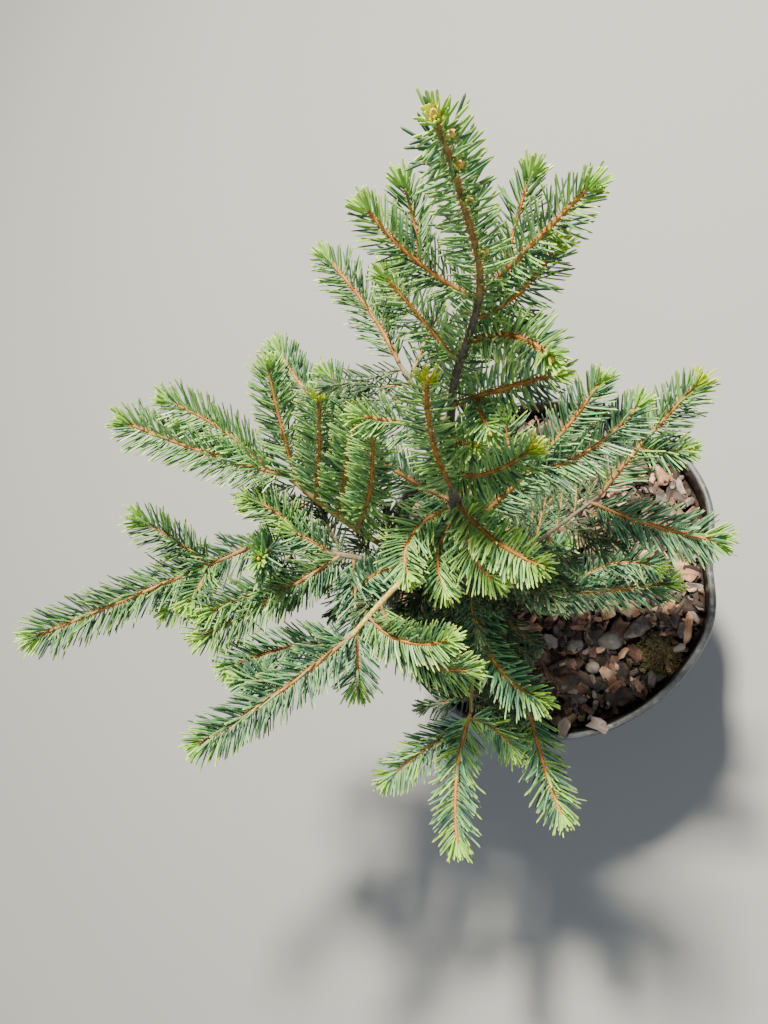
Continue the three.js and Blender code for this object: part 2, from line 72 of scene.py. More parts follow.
# %% Camera
MM = 0.001
FOCAL_PIXELS = 770.0
LONG_SIDE = 1024.0
camera_data = bpy.data.cameras.new("camera")
camera_data.sensor_fit = "AUTO"
camera_data.sensor_width = 36.0
camera_data.lens = camera_data.sensor_width * FOCAL_PIXELS / LONG_SIDE
camera = bpy.data.objects.new("camera", camera_data)
bpy.context.scene.collection.objects.link(camera)
camera.matrix_world = Matrix((    # columns: right, up, backwards, and the camera's place in metres
    (0.912214, 0.108328, 0.395133, 0.13715),
    (0.0, 0.964413, -0.264400, -0.12647),
    (-0.409713, 0.241189, 0.879752, 0.795),
    (0.0, 0.0, 0.0, 1.0),
))
camera_data.clip_start = 0.02
bpy.context.scene.camera = camera
print("lens:", round(camera_data.lens, 2), "mm")

# %% [markdown]
# ## Helpers
# A few small functions serve every piece. One turns the sRGB values that a colour picker gives into
# the linear values that a shader adds up. One adds a node with its settings and links, so that each
# material reads as a short list. One puts arrays of points and faces into a mesh, and one gives a piece
# its material and body and hides the solids that it stands for.

# %% Colour, node and mesh helpers
def linear(hex_text, alpha=1.0):
    """sRGB hex to linear: c / 12.92 for dark values, ((c + 0.055) / 1.055) to the power 2.4 above."""
    value = np.array([int(hex_text[i:i + 2], 16) for i in (1, 3, 5)]) / 255.0
    value = np.where(value <= 0.04045, value / 12.92, ((value + 0.055) / 1.055) ** 2.4)
    return (*value.tolist(), alpha)


def add(tree, kind, sockets=None, **settings):
    """Adds one node. Settings go on the node, and each socket takes a value or another node's output."""
    made = tree.nodes.new(kind)
    for key, value in settings.items():
        setattr(made, key, value)
    for key, value in (sockets or {}).items():
        if isinstance(value, bpy.types.NodeSocket):
            tree.links.new(value, made.inputs[key])
        else:
            made.inputs[key].default_value = value
    return made


def unit(vectors):
    """Each vector over its own length."""
    return vectors / np.maximum(np.linalg.norm(vectors, axis=-1, keepdims=True), 1e-9)


def put_mesh(name, points, quads=(), triangles=(), uv=None, smooth=True):
    """A mesh from an (n, 3) array in millimetres and arrays of four- and three-sided faces."""
    quads = np.asarray(quads, np.int32).reshape(-1, 4)
    triangles = np.asarray(triangles, np.int32).reshape(-1, 3)
    corners = np.concatenate([quads.ravel(), triangles.ravel()])
    starts = np.concatenate([
        np.arange(len(quads)) * 4,
        len(quads) * 4 + np.arange(len(triangles)) * 3,
    ]).astype(np.int32)
    mesh = bpy.data.meshes.new(name)
    mesh.vertices.add(len(points))
    mesh.vertices.foreach_set("co", (np.asarray(points) * MM).astype(np.float32).ravel())
    mesh.loops.add(len(corners))
    mesh.loops.foreach_set("vertex_index", corners)
    mesh.polygons.add(len(starts))
    mesh.polygons.foreach_set("loop_start", starts)
    mesh.polygons.foreach_set("use_smooth", np.full(len(starts), smooth))
    if uv is not None:
        layer = mesh.uv_layers.new(name="surface")
        layer.data.foreach_set("uv", np.asarray(uv, np.float32)[corners].ravel())
    mesh.update(calc_edges=True)
    piece = bpy.data.objects.new(name, mesh)
    bpy.context.scene.collection.objects.link(piece)
    print(name, len(quads) * 2 + len(triangles), "triangles")
    return piece


def dress(piece, material, slot, *nodes):
    """Gives a piece its material and body, and hides the solids that it stands for. The slot is not used."""
    piece.data.materials.append(material)
    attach(piece, "root")
    if nodes:
        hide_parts(*nodes)


# %% [markdown]
# ## Light and floor
# The plant stood in strong sun from the far side, which threw the pot's shadow towards the viewer. A
# studio keeps that direction with one soft key lamp there, and a weak wide lamp on the near side opens
# the shadows. The floor is a plain pale sheet, large enough to reach past every view.

# %% Lamps, surroundings and floor
KEY_BEARING, KEY_RISE, KEY_DISTANCE = 84.0, 60.0, 2.2
key_way = np.array([
    math.cos(math.radians(KEY_RISE)) * math.cos(math.radians(KEY_BEARING)),
    math.cos(math.radians(KEY_RISE)) * math.sin(math.radians(KEY_BEARING)),
    math.sin(math.radians(KEY_RISE)),
])


def lamp(name, way, distance, size, power, colour):
    """A square lamp at a distance along a direction, turned back to the middle of the plant."""
    data = bpy.data.lights.new(name, "AREA")
    data.shape = "SQUARE"
    data.size = size
    data.energy = power
    data.color = linear(colour)[:3]
    thing = bpy.data.objects.new(name, data)
    bpy.context.scene.collection.objects.link(thing)
    middle = np.array([0.0, 0.0, 0.3])
    thing.location = (middle + unit(np.array(way)) * distance).tolist()
    away = thing.location - Vector(middle.tolist())
    thing.rotation_euler = away.to_track_quat("Z", "Y").to_euler()


lamp("key_lamp", key_way, KEY_DISTANCE, 0.24, 200.0, "#fdf5e0")
lamp("fill_lamp", (0.35, -0.75, 0.8), 2.4, 1.2, 22.0, "#eaeef0")

surroundings = bpy.data.worlds.new("studio")
surroundings.use_nodes = True
surroundings.node_tree.nodes["Background"].inputs["Color"].default_value = linear("#d3dff0")
surroundings.node_tree.nodes["Background"].inputs["Strength"].default_value = 0.25
bpy.context.scene.world = surroundings

FLOOR_HALF = 12000
floor_corners = np.array([(-1, -1, 0), (1, -1, 0), (1, 1, 0), (-1, 1, 0)]) * FLOOR_HALF
floor = put_mesh("floor", floor_corners, quads=[(0, 1, 2, 3)])
floor_paper = bpy.data.materials.new("matt_backdrop_paper")
floor_paper.use_nodes = True
paper_shader = floor_paper.node_tree.nodes["Principled BSDF"]
paper_shader.inputs["Base Color"].default_value = linear("#9e9fa0")
paper_shader.inputs["Roughness"].default_value = 0.9
floor.data.materials.append(floor_paper)
floor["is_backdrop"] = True

# %% [markdown]
# ## The pot
# The real pot is a tapered tub of black polypropylene, injection moulded with a rolled lip, and it has
# been knocked flat on its right side. It could be an extruded circle with modifiers, but one profile
# turned round the axis gives the wall, the lip and the floor in one closed skin, and the flat is one
# more function of the bearing. The profile is the drawing that a mould maker would start from.

# %% Pot profile and its turned skin
POT_HEIGHT, RIM_RADIUS, FOOT_RADIUS = 190.0, 140.0, 106.0
WALL_TOP, WALL, POT_FLOOR = 136.6, 2.2, 3.0
DENT_DEPTH, DENT_BEARING, DENT_SPREAD = 9.5, -5.0, 14.0


def pressed(points):
    """Moves points inwards by depth x height share x exp(-(bearing off the dent / spread) squared)."""
    x, y, z = points[..., 0], points[..., 1], points[..., 2]
    radius = np.maximum(np.hypot(x, y), 1e-6)
    off = (np.degrees(np.arctan2(y, x)) - DENT_BEARING) / DENT_SPREAD
    press = DENT_DEPTH * z / POT_HEIGHT * np.exp(-off * off) * (radius > FOOT_RADIUS * 0.9)
    share = 1 - press / radius
    return np.stack([x * share, y * share, z], -1)


def ring_faces(rings, sides):
    """Quads between rings of points, and a fan at each end round the two points after the last ring."""
    i, k = np.meshgrid(np.arange(rings - 1), np.arange(sides), indexing="ij")
    a, b = i * sides + k, i * sides + (k + 1) % sides
    quads = np.stack([a, b, b + sides, a + sides], -1).reshape(-1, 4)
    k = np.arange(sides)
    after, last, low = (k + 1) % sides, (rings - 1) * sides, rings * sides
    low_fan = np.stack([np.full(sides, low), after, k], -1)
    high_fan = np.stack([np.full(sides, low + 1), last + k, last + after], -1)
    return quads, np.concatenate([low_fan, high_fan])


def turned(profile, sides):
    """Revolves (radius, height) pairs round the Z axis. The first and last points lie on the axis."""
    angle = np.arange(sides) * 2 * np.pi / sides
    ring = profile[1:-1]
    skin = np.stack([
        ring[:, None, 0] * np.cos(angle),
        ring[:, None, 0] * np.sin(angle),
        np.broadcast_to(ring[:, None, 1], (len(ring), sides)),
    ], -1).reshape(-1, 3)
    points = np.concatenate([skin, [[0, 0, profile[0][1]], [0, 0, profile[-1][1]]]])
    return points, *ring_faces(len(ring), sides)


def arc(centre, radius, start, end, count):
    """Points round a centre, from one angle to another in degrees."""
    angle = np.radians(np.linspace(start, end, count))
    return np.stack([centre[0] + radius * np.cos(angle), centre[1] + radius * np.sin(angle)], -1)


def slope_points(start, end, count):
    """Points in a straight row between two points of the profile."""
    return np.linspace(start, end, count)


LIP_FOOT = POT_HEIGHT - 6.5
pot_profile = np.concatenate([
    [(0, 0)],
    slope_points((20, 0), (FOOT_RADIUS - 4, 0), 6),
    arc((FOOT_RADIUS - 3, 3), 3, -80, 0, 5),
    slope_points((FOOT_RADIUS + 0.6, 8), (WALL_TOP - 1.4, LIP_FOOT - 3), 26),
    slope_points((WALL_TOP - 0.6, LIP_FOOT), (RIM_RADIUS - 1.8, LIP_FOOT), 3),
    arc((RIM_RADIUS - 1.6, LIP_FOOT + 1.2), 1.2, -80, 0, 4),
    arc((RIM_RADIUS - 2.8, POT_HEIGHT - 2.4), 2.4, 0, 90, 8),
    arc((RIM_RADIUS - 3.4, POT_HEIGHT - 1.6), 1.6, 95, 180, 7),
    slope_points((WALL_TOP - WALL - 0.4, POT_HEIGHT - 5), (FOOT_RADIUS - WALL, POT_FLOOR + 2), 24),
    slope_points((FOOT_RADIUS - WALL - 4, POT_FLOOR), (20, POT_FLOOR), 4),
    [(0, POT_FLOOR)],
])
pot_points, pot_quads, pot_ends = turned(pot_profile, 256)


def knocked(points):
    """Adds the slow waves that a thin warm wall takes: up to 0.6 mm in and out at the lip, less below."""
    x, y, z = points[:, 0], points[:, 1], points[:, 2]
    bearing = np.arctan2(y, x)
    wave = 0.45 * np.sin(3 * bearing + 0.7) + 0.35 * np.sin(7 * bearing + z * 0.02)
    grown = 1 + wave * (z / POT_HEIGHT) ** 2 * 0.8 / RIM_RADIUS
    return np.stack([x * grown, y * grown, z + 0.35 * np.sin(2 * bearing + 1) * (z > LIP_FOOT)], -1)


pot = put_mesh("nursery_pot", pressed(knocked(pot_points)), pot_quads, pot_ends)

# %% [markdown]
# ## Finish of the pot
# Nursery pots are injection moulded from recycled black polypropylene with a matt mould. The plastic
# itself gives a broad grey highlight. Use gives the rest: a film of pale dust over the wall, thicker
# near the ground, and scuffs on the lip from handling and stacking. The pale band along the top of the
# lip is partly dust and partly a painted highlight, the bright edge that the lip catches. Dust and
# painted highlight are driven by height and noise in Object coordinates.

# %% Materials, patterns and coats of colour
def new_material(name):
    """A material with its tree and its Principled shader."""
    material = bpy.data.materials.new(name)
    material.use_nodes = True
    return material, material.node_tree, material.node_tree.nodes["Principled BSDF"]


def per_metre(size_mm):
    """The Scale that makes the blobs or cells of a pattern about size_mm across."""
    return 1.0 / (size_mm * MM)


def grains(tree, *sizes):
    """Object coordinates, and a noise read there for each pair of blob size in mm and detail."""
    place = add(tree, "ShaderNodeTexCoord").outputs["Object"]
    return place, *(add(tree, "ShaderNodeTexNoise", {
        "Vector": place, "Scale": per_metre(size), "Detail": detail, "Roughness": 0.55,
    }).outputs["Fac"] for size, detail in sizes)


def laid_over(tree, under, coat, pattern, low=0.0, high=1.0, least=0.0, most=1.0):
    """One colour over another: its share goes from least to most as a pattern goes from low to high."""
    share = add(tree, "ShaderNodeMapRange", {
        "Value": pattern, "From Min": low, "From Max": high, "To Min": least, "To Max": most,
    }).outputs["Result"]
    under, coat = (linear(colour) if isinstance(colour, str) else colour for colour in (under, coat))
    return add(tree, "ShaderNodeMix", {0: share, 6: under, 7: coat}, data_type="RGBA").outputs[2]


# %% Moulded black polypropylene
DUST_TOP, LIP_DUST_AND_HIGHLIGHT_FOOT, LIP_DUST_AND_HIGHLIGHT_TOP = 50.0, POT_HEIGHT - 4.2, POT_HEIGHT - 0.4
pot_plastic, tree, shader = new_material("injection_moulded_black_polypropylene")
place, film, specks, matt_mould = grains(tree, (60, 6.0), (2.6, 4.0), (0.9, 2.0))
height = add(tree, "ShaderNodeSeparateXYZ", {"Vector": place}).outputs["Z"]
flattened = add(tree, "ShaderNodeMapping", {"Vector": place, "Scale": (1.0, 1.0, 4.0)}).outputs["Vector"]
scuffs = add(tree, "ShaderNodeTexNoise", {
    "Vector": flattened, "Scale": per_metre(5.5), "Detail": 6.0, "Roughness": 0.55,
}).outputs["Fac"]
low_dust = add(tree, "ShaderNodeMapRange", {
    "Value": height, "From Max": DUST_TOP * MM, "To Min": 0.36, "To Max": 0.03,
}).outputs["Result"]
# The top few millimetres of the lip: a pale band that is partly dust and partly a painted highlight.
lip_dust_and_highlight = add(tree, "ShaderNodeMapRange", {
    "Value": height, "From Min": LIP_DUST_AND_HIGHLIGHT_FOOT * MM, "From Max": LIP_DUST_AND_HIGHLIGHT_TOP * MM, "To Max": 0.55,
}).outputs["Result"]
in_film = add(tree, "ShaderNodeMapRange", {
    "Value": film, "From Min": 0.35, "From Max": 0.7,
}).outputs["Result"]
in_scuff = add(tree, "ShaderNodeMapRange", {
    "Value": scuffs, "From Min": 0.5, "From Max": 0.66,
}).outputs["Result"]
dust_and_lip_highlight = add(tree, "ShaderNodeMath", {0: low_dust, 1: lip_dust_and_highlight}, operation="ADD").outputs[0]
dust_and_lip_highlight = add(tree, "ShaderNodeMath", {0: dust_and_lip_highlight, 1: in_film}, operation="MULTIPLY").outputs[0]
rubbed = add(tree, "ShaderNodeMath", {0: in_scuff, 1: lip_dust_and_highlight}, operation="MULTIPLY").outputs[0]
coloured = laid_over(tree, "#121417", "#1e2124", film, 0.3, 0.75)
# Pale grey of the dust, and on the lip also of the painted highlight.
coloured = laid_over(tree, coloured, "#989ca0", dust_and_lip_highlight)
coloured = laid_over(tree, coloured, "#8f9190", rubbed)
coloured = laid_over(tree, coloured, "#6d6257", specks, 0.68, 0.74, 0.0, 0.5)
tree.links.new(coloured, shader.inputs["Base Color"])
dulled = add(tree, "ShaderNodeMapRange", {"Value": dust_and_lip_highlight, "From Max": 0.6, "To Min": 0.30, "To Max": 0.75})
tree.links.new(dulled.outputs["Result"], shader.inputs["Roughness"])
relief = add(tree, "ShaderNodeBump", {"Strength": 0.25, "Distance": 0.6 * MM, "Height": matt_mould})
tree.links.new(relief.outputs["Normal"], shader.inputs["Normal"])
shader.inputs["IOR"].default_value = 1.49
dress(pot, pot_plastic, "pot_plastic", "pot")

# %% [markdown]
# ## The bark substrate
# The pot is filled with composted pine bark. From above one sees a bed of dark crumbs with flat chips
# of bark on it, 4 to 29 mm long, tan where fresh wood shows and grey or red-brown where weathered. A
# displaced surface would show no edges or shadows under the chips. So the bed is a gently uneven disc,
# and the chips are some twenty-seven hundred small slabs, each with its own outline and tilt.

# %% Bed of fine bark
SOIL_HEIGHT = 172.0
soil_radius = FOOT_RADIUS - WALL + (WALL_TOP - FOOT_RADIUS) * SOIL_HEIGHT / POT_HEIGHT - 0.5
TRUNK_FOOT_X, TRUNK_FOOT_Y = -13.0, -29.0


def bed_height(x, y):
    """Height of the bed: two crossed sine waves and a finer one, level near the wall and the trunk."""
    wave = np.sin(x * 0.083 + 1.3) * np.cos(y * 0.071 - 0.6) + 0.5 * np.sin((x + y) * 0.13)
    rim = np.clip((soil_radius - 8 - np.hypot(x, y)) / 20, 0, 1)
    trunk = np.clip((np.hypot(x - TRUNK_FOOT_X, y - TRUNK_FOOT_Y) - 14) / 14, 0, 1)
    fine = 0.6 * np.sin(x * 0.9 + 2 * np.sin(y * 0.31)) * np.cos(y * 0.8 + 1.7 * np.sin(x * 0.27))
    return SOIL_HEIGHT - 3.0 + 2.1 * wave * rim * trunk + fine * rim


bed_rings = np.linspace(0, 1, 60)[1:] * soil_radius
bed_profile = np.concatenate([
    [(0, POT_FLOOR + 0.5), (60, POT_FLOOR + 0.5), (FOOT_RADIUS - WALL - 4.5, POT_FLOOR + 0.5)],
    slope_points((FOOT_RADIUS - WALL - 1.0, POT_FLOOR + 4), (soil_radius - 0.8, SOIL_HEIGHT - 6), 20),
    np.stack([bed_rings[::-1], np.full(59, SOIL_HEIGHT)], -1),
    [(0, SOIL_HEIGHT)],
])
bed_points, bed_quads, bed_ends = turned(bed_profile, 160)
top = bed_points[:, 2] > SOIL_HEIGHT - 0.5
bed_points[top, 2] = bed_height(bed_points[top, 0], bed_points[top, 1])
bed = put_mesh("bark_fines_bed", pressed(bed_points), bed_quads, bed_ends)

# %% [markdown]
# The fines between the chips are the same bark, broken down to 1 to 4 mm crumbs and damp. Damp crumbs
# are dark with little gloss, so this material is rough, mottled and strongly bumped. Its colours are
# kept darker still as painted shade, so that the gaps between the chips read as shadow.

# %% Damp bark fines, darkened further as painted shade in the gaps
bark_fines, tree, shader = new_material("damp_bark_fines_with_painted_gap_shade")
place, mottle = grains(tree, (14, 4.0))
crumb = add(tree, "ShaderNodeTexVoronoi", {"Vector": place, "Scale": per_metre(3.2)})
crumb_share = add(tree, "ShaderNodeSeparateColor", {"Color": crumb.outputs["Color"]}).outputs["Red"]
# Near-black crumbs: the damp fines' own dark colour, darkened further as painted shade for the gaps.
coloured = laid_over(tree, "#120c09", "#3d2b20", crumb_share)
coloured = laid_over(tree, coloured, "#2a1e16", mottle, 0.4, 0.65)
tree.links.new(coloured, shader.inputs["Base Color"])
relief = add(tree, "ShaderNodeBump", {
    "Strength": 0.9, "Distance": 1.6 * MM, "Height": crumb.outputs["Distance"],
}, invert=True)
tree.links.new(relief.outputs["Normal"], shader.inputs["Normal"])
shader.inputs["Roughness"].default_value = 0.92
dress(bed, bark_fines, "bark_substrate", "substrate")

# %% [markdown]
# ## Bark chips
# A chip splits off along the growth layers, so it is a flat slab with broken ends: longer than wide,
# with a jagged outline and slightly bevelled edges. One function makes all chips at once: nine corners
# round a stretched outline, four rings from underside to top, then a turn, a tilt and a place.

# %% Slabs of bark and where they lie
CORNERS = 9


def turned_by(points, bearing, tilt, tilt_bearing):
    """Tilts each row of points about a level axis, then turns it about Z. Angles are in radians."""
    axis = np.stack([-np.sin(tilt_bearing), np.cos(tilt_bearing), np.zeros_like(tilt)], -1)[:, None, :]
    c, s = np.cos(bearing)[:, None], np.sin(bearing)[:, None]
    x, y = points[..., 0] * c - points[..., 1] * s, points[..., 0] * s + points[..., 1] * c
    flat = np.stack([x, y, points[..., 2]], -1)
    ct, st = np.cos(tilt)[:, None, None], np.sin(tilt)[:, None, None]
    along_axis = (flat * axis).sum(-1, keepdims=True)
    return flat * ct + np.cross(axis, flat) * st + axis * along_axis * (1 - ct)


SLAB_RINGS = [(0.80, -0.5), (1.0, -0.22), (0.97, 0.26), (0.78, 0.5)]    # width, and level in the thickness


def repeated(faces, count, points_each):
    """The same faces for each of count equal groups of points: each group's numbers move along."""
    shift = (np.arange(count) * points_each)[:, None, None]
    return [(kind + shift).reshape(-1, kind.shape[1]) for kind in faces]


def slabs(rng, length, width, thick, spots, tilts, bearings=None):
    """Closed slabs: outline radius = ellipse x random corner factor, bevelled towards both faces."""
    count = len(length)
    angle = (np.arange(CORNERS) + rng.uniform(-0.32, 0.32, (count, CORNERS))) * 2 * np.pi / CORNERS
    reach = rng.uniform(0.62, 0.95, (count, CORNERS))
    square = 1 / np.maximum(np.abs(np.cos(angle)), np.abs(np.sin(angle))) ** 0.9
    outline = np.stack([np.cos(angle) * length[:, None], np.sin(angle) * width[:, None]], -1)
    outline = outline * (reach * square)[..., None] * 0.5
    rings = []
    for shrink, level in SLAB_RINGS:
        jog = rng.normal(0, 0.035, (count, CORNERS, 2)) * width[:, None, None]
        rise = level * thick[:, None] * rng.uniform(0.75, 1.2, (count, CORNERS))
        rings.append(np.concatenate([outline * shrink + jog, rise[..., None]], -1))
    middle = np.zeros(count)
    ends = [np.stack([middle, middle, side * thick * 0.5], -1)[:, None] for side in (-1, 1)]
    points = np.concatenate([*rings, *ends], 1)
    points[..., 2] -= 0.10 * (points[..., 1] ** 2) / np.maximum(width, 1)[:, None]
    local = points[..., :2] / 12.0 + rng.uniform(0, 60, (count, 1, 2))
    bearings = rng.uniform(0, 2 * np.pi, count) if bearings is None else bearings
    placed = turned_by(points, bearings, tilts, rng.uniform(0, 2 * np.pi, count)) + spots[:, None, :]
    quads, ends = repeated(ring_faces(len(SLAB_RINGS), CORNERS), count, points.shape[1])
    return placed.reshape(-1, 3), quads, ends, local.reshape(-1, 2)


def split_bark(name, light, middle, dark, roughness):
    """Split pine bark: layers 0.5 to 1 mm thick show as streaks along the chip, broken by pits."""
    material, tree, shader = new_material(name)
    pits = grains(tree, (1.3, 3.0))[1]
    surface = add(tree, "ShaderNodeUVMap", uv_map="surface").outputs["UV"]
    layers = add(tree, "ShaderNodeMapping", {"Vector": surface, "Scale": (1.2, 7.0, 1.0)}).outputs["Vector"]
    streaks = add(tree, "ShaderNodeTexNoise", {
        "Vector": layers, "Scale": 1.6, "Detail": 5.0, "Roughness": 0.65,
    }).outputs["Fac"]
    patches = add(tree, "ShaderNodeTexNoise", {"Vector": surface, "Scale": 0.9, "Detail": 3.0}).outputs["Fac"]
    coloured = laid_over(tree, dark, middle, streaks, 0.36, 0.64)
    coloured = laid_over(tree, coloured, light, patches, 0.45, 0.62)
    coloured = laid_over(tree, coloured, dark, pits, 0.62, 0.72, 0.0, 0.7)
    tree.links.new(coloured, shader.inputs["Base Color"])
    relief = add(tree, "ShaderNodeBump", {"Strength": 0.7, "Distance": 0.8 * MM, "Height": streaks})
    tree.links.new(relief.outputs["Normal"], shader.inputs["Normal"])
    shader.inputs["Roughness"].default_value = roughness
    return material


# %% Four kinds of small chips, dealt over the bed
CHIPS = 2700
MOSS_X, MOSS_Y, MOSS_REACH = 84.0, -77.0, 15.0
chip_finishes = {
    "chips_tan": (split_bark("fresh_split_pine_bark", "#dcb698", "#a87f68", "#634839", 0.78), 0.13),
    "chips_red_brown": (split_bark("red_brown_inner_bark", "#946d5a", "#6c4e43", "#402e26", 0.8), 0.26),
    "chips_grey": (split_bark("weathered_grey_brown_bark", "#9e918b", "#6d6058", "#413733", 0.85), 0.26),
    "chips_dark": (split_bark("damp_dark_bark", "#53443b", "#352923", "#1f1814", 0.7), 0.35),
}
chip_rng = np.random.default_rng(41)
for name, (finish, share) in chip_finishes.items():
    count = int(CHIPS * share)
    radius = np.sqrt(chip_rng.uniform(0, 1, count)) * (soil_radius - 3)
    bearing = chip_rng.uniform(0, 2 * np.pi, count)
    length = np.clip(chip_rng.lognormal(2.28, 0.52, count), 4.0, 27)
    width = length * chip_rng.uniform(0.30, 0.66, count)
    thick = np.clip(length * chip_rng.uniform(0.06, 0.13, count), 0.9, 2.8)
    radius = np.minimum(radius, soil_radius - 0.42 * length)
    x, y = radius * np.cos(bearing), radius * np.sin(bearing)
    lift = thick * 0.30 + 8.5 * chip_rng.uniform(0, 1, count) ** 1.6
    spots = pressed(np.stack([x, y, bed_height(x, y) + lift], -1))
    in_moss = np.hypot(x - MOSS_X, y - MOSS_Y) < MOSS_REACH
    spots[in_moss, 2] = np.minimum(spots[in_moss, 2], SOIL_HEIGHT + 1)
    tilts = np.abs(chip_rng.normal(0, 0.48, count))
    points, quads, ends, surface = slabs(chip_rng, length, width, thick, spots, tilts)
    chips = put_mesh(name, points, quads, ends, uv=surface, smooth=False)
    dress(chips, finish, "bark_substrate", "substrate")

# %% [markdown]
# ## A few things that stand out in the bark
# Some pieces are large enough to be recognised: a long orange chip against the wall, broad tan ones
# beside it, two dry grey ones that lie out over the lip at the front, five round grey pebbles, and
# cushions of olive moss. They are placed one by one, from slabs, lumpy balls and small leafy blades.

# %% Broad chips, each at its own place
noted = np.array([
    # x, y, height, length, width, thickness, bearing, tilt
    (111, -60, 177.5, 29, 8, 4.0, 78, 10),
    (53, -40, 177.0, 24, 12, 4.5, 60, 14),
    (68, -42, 177.5, 20, 15, 4.0, 10, 8),
    (95, -42, 177.0, 17, 12, 3.5, 35, 12),
    (110, -17, 177.0, 20, 12, 4.0, 150, 8),
    (84, 2, 177.5, 27, 14, 4.5, 15, 10),
    (66, 8, 177.0, 19, 12, 3.8, 120, 9),
    (14, -129, 190.5, 18, 12, 1.8, 70, 20),
    (41, -128, 190.5, 20, 12, 1.8, 150, 22),
    (9, 44, 178.0, 24, 13, 4.0, 70, 10),
    (100, 62, 177.0, 22, 12, 4.0, 100, 12),
])
LIP_LEVEL = 185.0    # the chips noted above this height lie on the lip
noted_rng = np.random.default_rng(5)
spots = noted[:, :3].copy()
on_lip = spots[:, 2] > LIP_LEVEL
inwards = np.minimum(1, (soil_radius - 8) / np.hypot(spots[:, 0], spots[:, 1]))
spots[:, :2] *= np.where(on_lip, 1.0, inwards)[:, None]
for name, pick, finish in (
        ("broad_bark_chips", ~on_lip,
         split_bark("broad_orange_tan_bark", "#e0b698", "#bd8d6e", "#8a5f49", 0.76)),
        ("chips_on_the_lip", on_lip,
         split_bark("dry_mauve_grey_bark", "#a39592", "#84756f", "#5a4d48", 0.8))):
    points, quads, ends, surface = slabs(noted_rng, *noted[pick, 3:6].T, spots[pick],
                                         *np.radians(noted[pick][:, [7, 6]]).T)
    chips = put_mesh(name, points, quads, ends, uv=surface, smooth=False)
    dress(chips, finish, "bark_substrate", "substrate")

# %% Round grey pebbles
pebbles = np.array([
    # x, y, height, and half sizes along each
    (51, -65, 176, 9.2, 7.2, 5.5),
    (24, -67, 175, 6.5, 5, 4.5),
    (36, -85, 174.5, 5.4, 4.6, 4),
    (-40, 70, 175, 7, 6, 5),
    (12, -98, 174.5, 5, 4.5, 4),
])
BALL_ROWS, BALL_COLUMNS = 12, 20
polar = (np.arange(BALL_ROWS) + 1) * np.pi / (BALL_ROWS + 1)
round_it = np.arange(BALL_COLUMNS) * 2 * np.pi / BALL_COLUMNS


def ball(centre, half_sizes, lumps):
    """An ellipsoid from pole to pole with slow lumps: half size x (1 + lumps x sine of both angles)."""
    p, q = np.meshgrid(polar, round_it, indexing="ij")
    swell = 1 + lumps * np.sin(3 * q + 2 * p + centre[0]) * np.sin(2 * p + centre[1])
    skin = np.stack([np.sin(p) * np.cos(q), np.sin(p) * np.sin(q), -np.cos(p)], -1) * swell[..., None]
    points = np.concatenate([skin.reshape(-1, 3), [[0, 0, -1], [0, 0, 1]]]) * half_sizes + centre
    return points, *ring_faces(BALL_ROWS, BALL_COLUMNS)


def joined(parts):
    """Several (points, quads, triangles) groups as one, with the face numbers moved along."""
    shift, points, quads, triangles = 0, [], [], []
    for p, q, t in parts:
        points.append(p)
        quads.append(q + shift)
        triangles.append(t + shift)
        shift += len(p)
    return np.concatenate(points), np.concatenate(quads), np.concatenate(triangles)


stones = put_mesh("grey_pebbles", *joined([ball(row[:3], row[3:], 0.09) for row in pebbles]))
river_stone, tree, shader = new_material("river_worn_grey_stone")
_, clouds, flecks = grains(tree, (5, 5.0), (1.1, 3.0))
coloured = laid_over(tree, "#6e6862", "#948c80", clouds, 0.35, 0.65)
coloured = laid_over(tree, coloured, "#c9c2b4", flecks, 0.62, 0.7, 0.0, 0.6)
tree.links.new(coloured, shader.inputs["Base Color"])
shader.inputs["Roughness"].default_value = 0.7
dress(stones, river_stone, "bark_substrate", "substrate")

# %% Cushions of moss: short leafy blades that stand off four low mounds
moss_rng = np.random.default_rng(12)
mounds = np.array([
    # x, y, radius, height
    (MOSS_X, MOSS_Y, 16.5, 7.5),
    (109, -3, 8, 4),
    (-70, -60, 12, 7),
    (-60, 85, 13, 7),
])
BLADES, BLADE_HALF_WIDTH, MOSS_FOOT = 900, 0.42, 171.5
mound = np.repeat(np.arange(len(mounds)), BLADES)
reach = np.sqrt(moss_rng.uniform(0, 1, len(mound)))
around = moss_rng.uniform(0, 2 * np.pi, len(mound))
compass = np.stack([np.cos(around), np.sin(around)], -1)
moss_xy = mounds[mound, :2] + (mounds[mound, 2] * reach)[:, None] * compass
moss_z = MOSS_FOOT + mounds[mound, 3] * (1 - reach**2) + moss_rng.uniform(0, 1.5, len(mound))
moss_foot = np.column_stack([moss_xy, moss_z])
moss_way = np.column_stack([compass * reach[:, None], np.full(len(mound), 0.8)])
moss_way = unit(moss_way + moss_rng.normal(0, 0.45, (len(mound), 3)))
moss_long = moss_rng.uniform(1.6, 3.4, len(mound))
moss_side = unit(np.cross(moss_way, [0.3, 0.2, 0.1]))
moss_up = np.cross(moss_way, moss_side)
moss_ring = np.stack([moss_side, moss_up, -moss_side, -moss_up], 1)
moss_points = np.concatenate([moss_foot[:, None] + moss_ring * BLADE_HALF_WIDTH,
                              moss_foot[:, None] + moss_way[:, None] * moss_long[:, None, None]], 1)
k = np.arange(4)
blade = np.concatenate([np.stack([k, (k + 1) % 4, np.full(4, 4)], -1), [(0, 2, 1), (0, 3, 2)]])
moss_faces = (blade + (np.arange(len(mound)) * 5)[:, None, None]).reshape(-1, 3)
moss = put_mesh("moss_cushions", moss_points.reshape(-1, 3), triangles=moss_faces)
dry_moss, tree, shader = new_material("half_dry_cushion_moss")
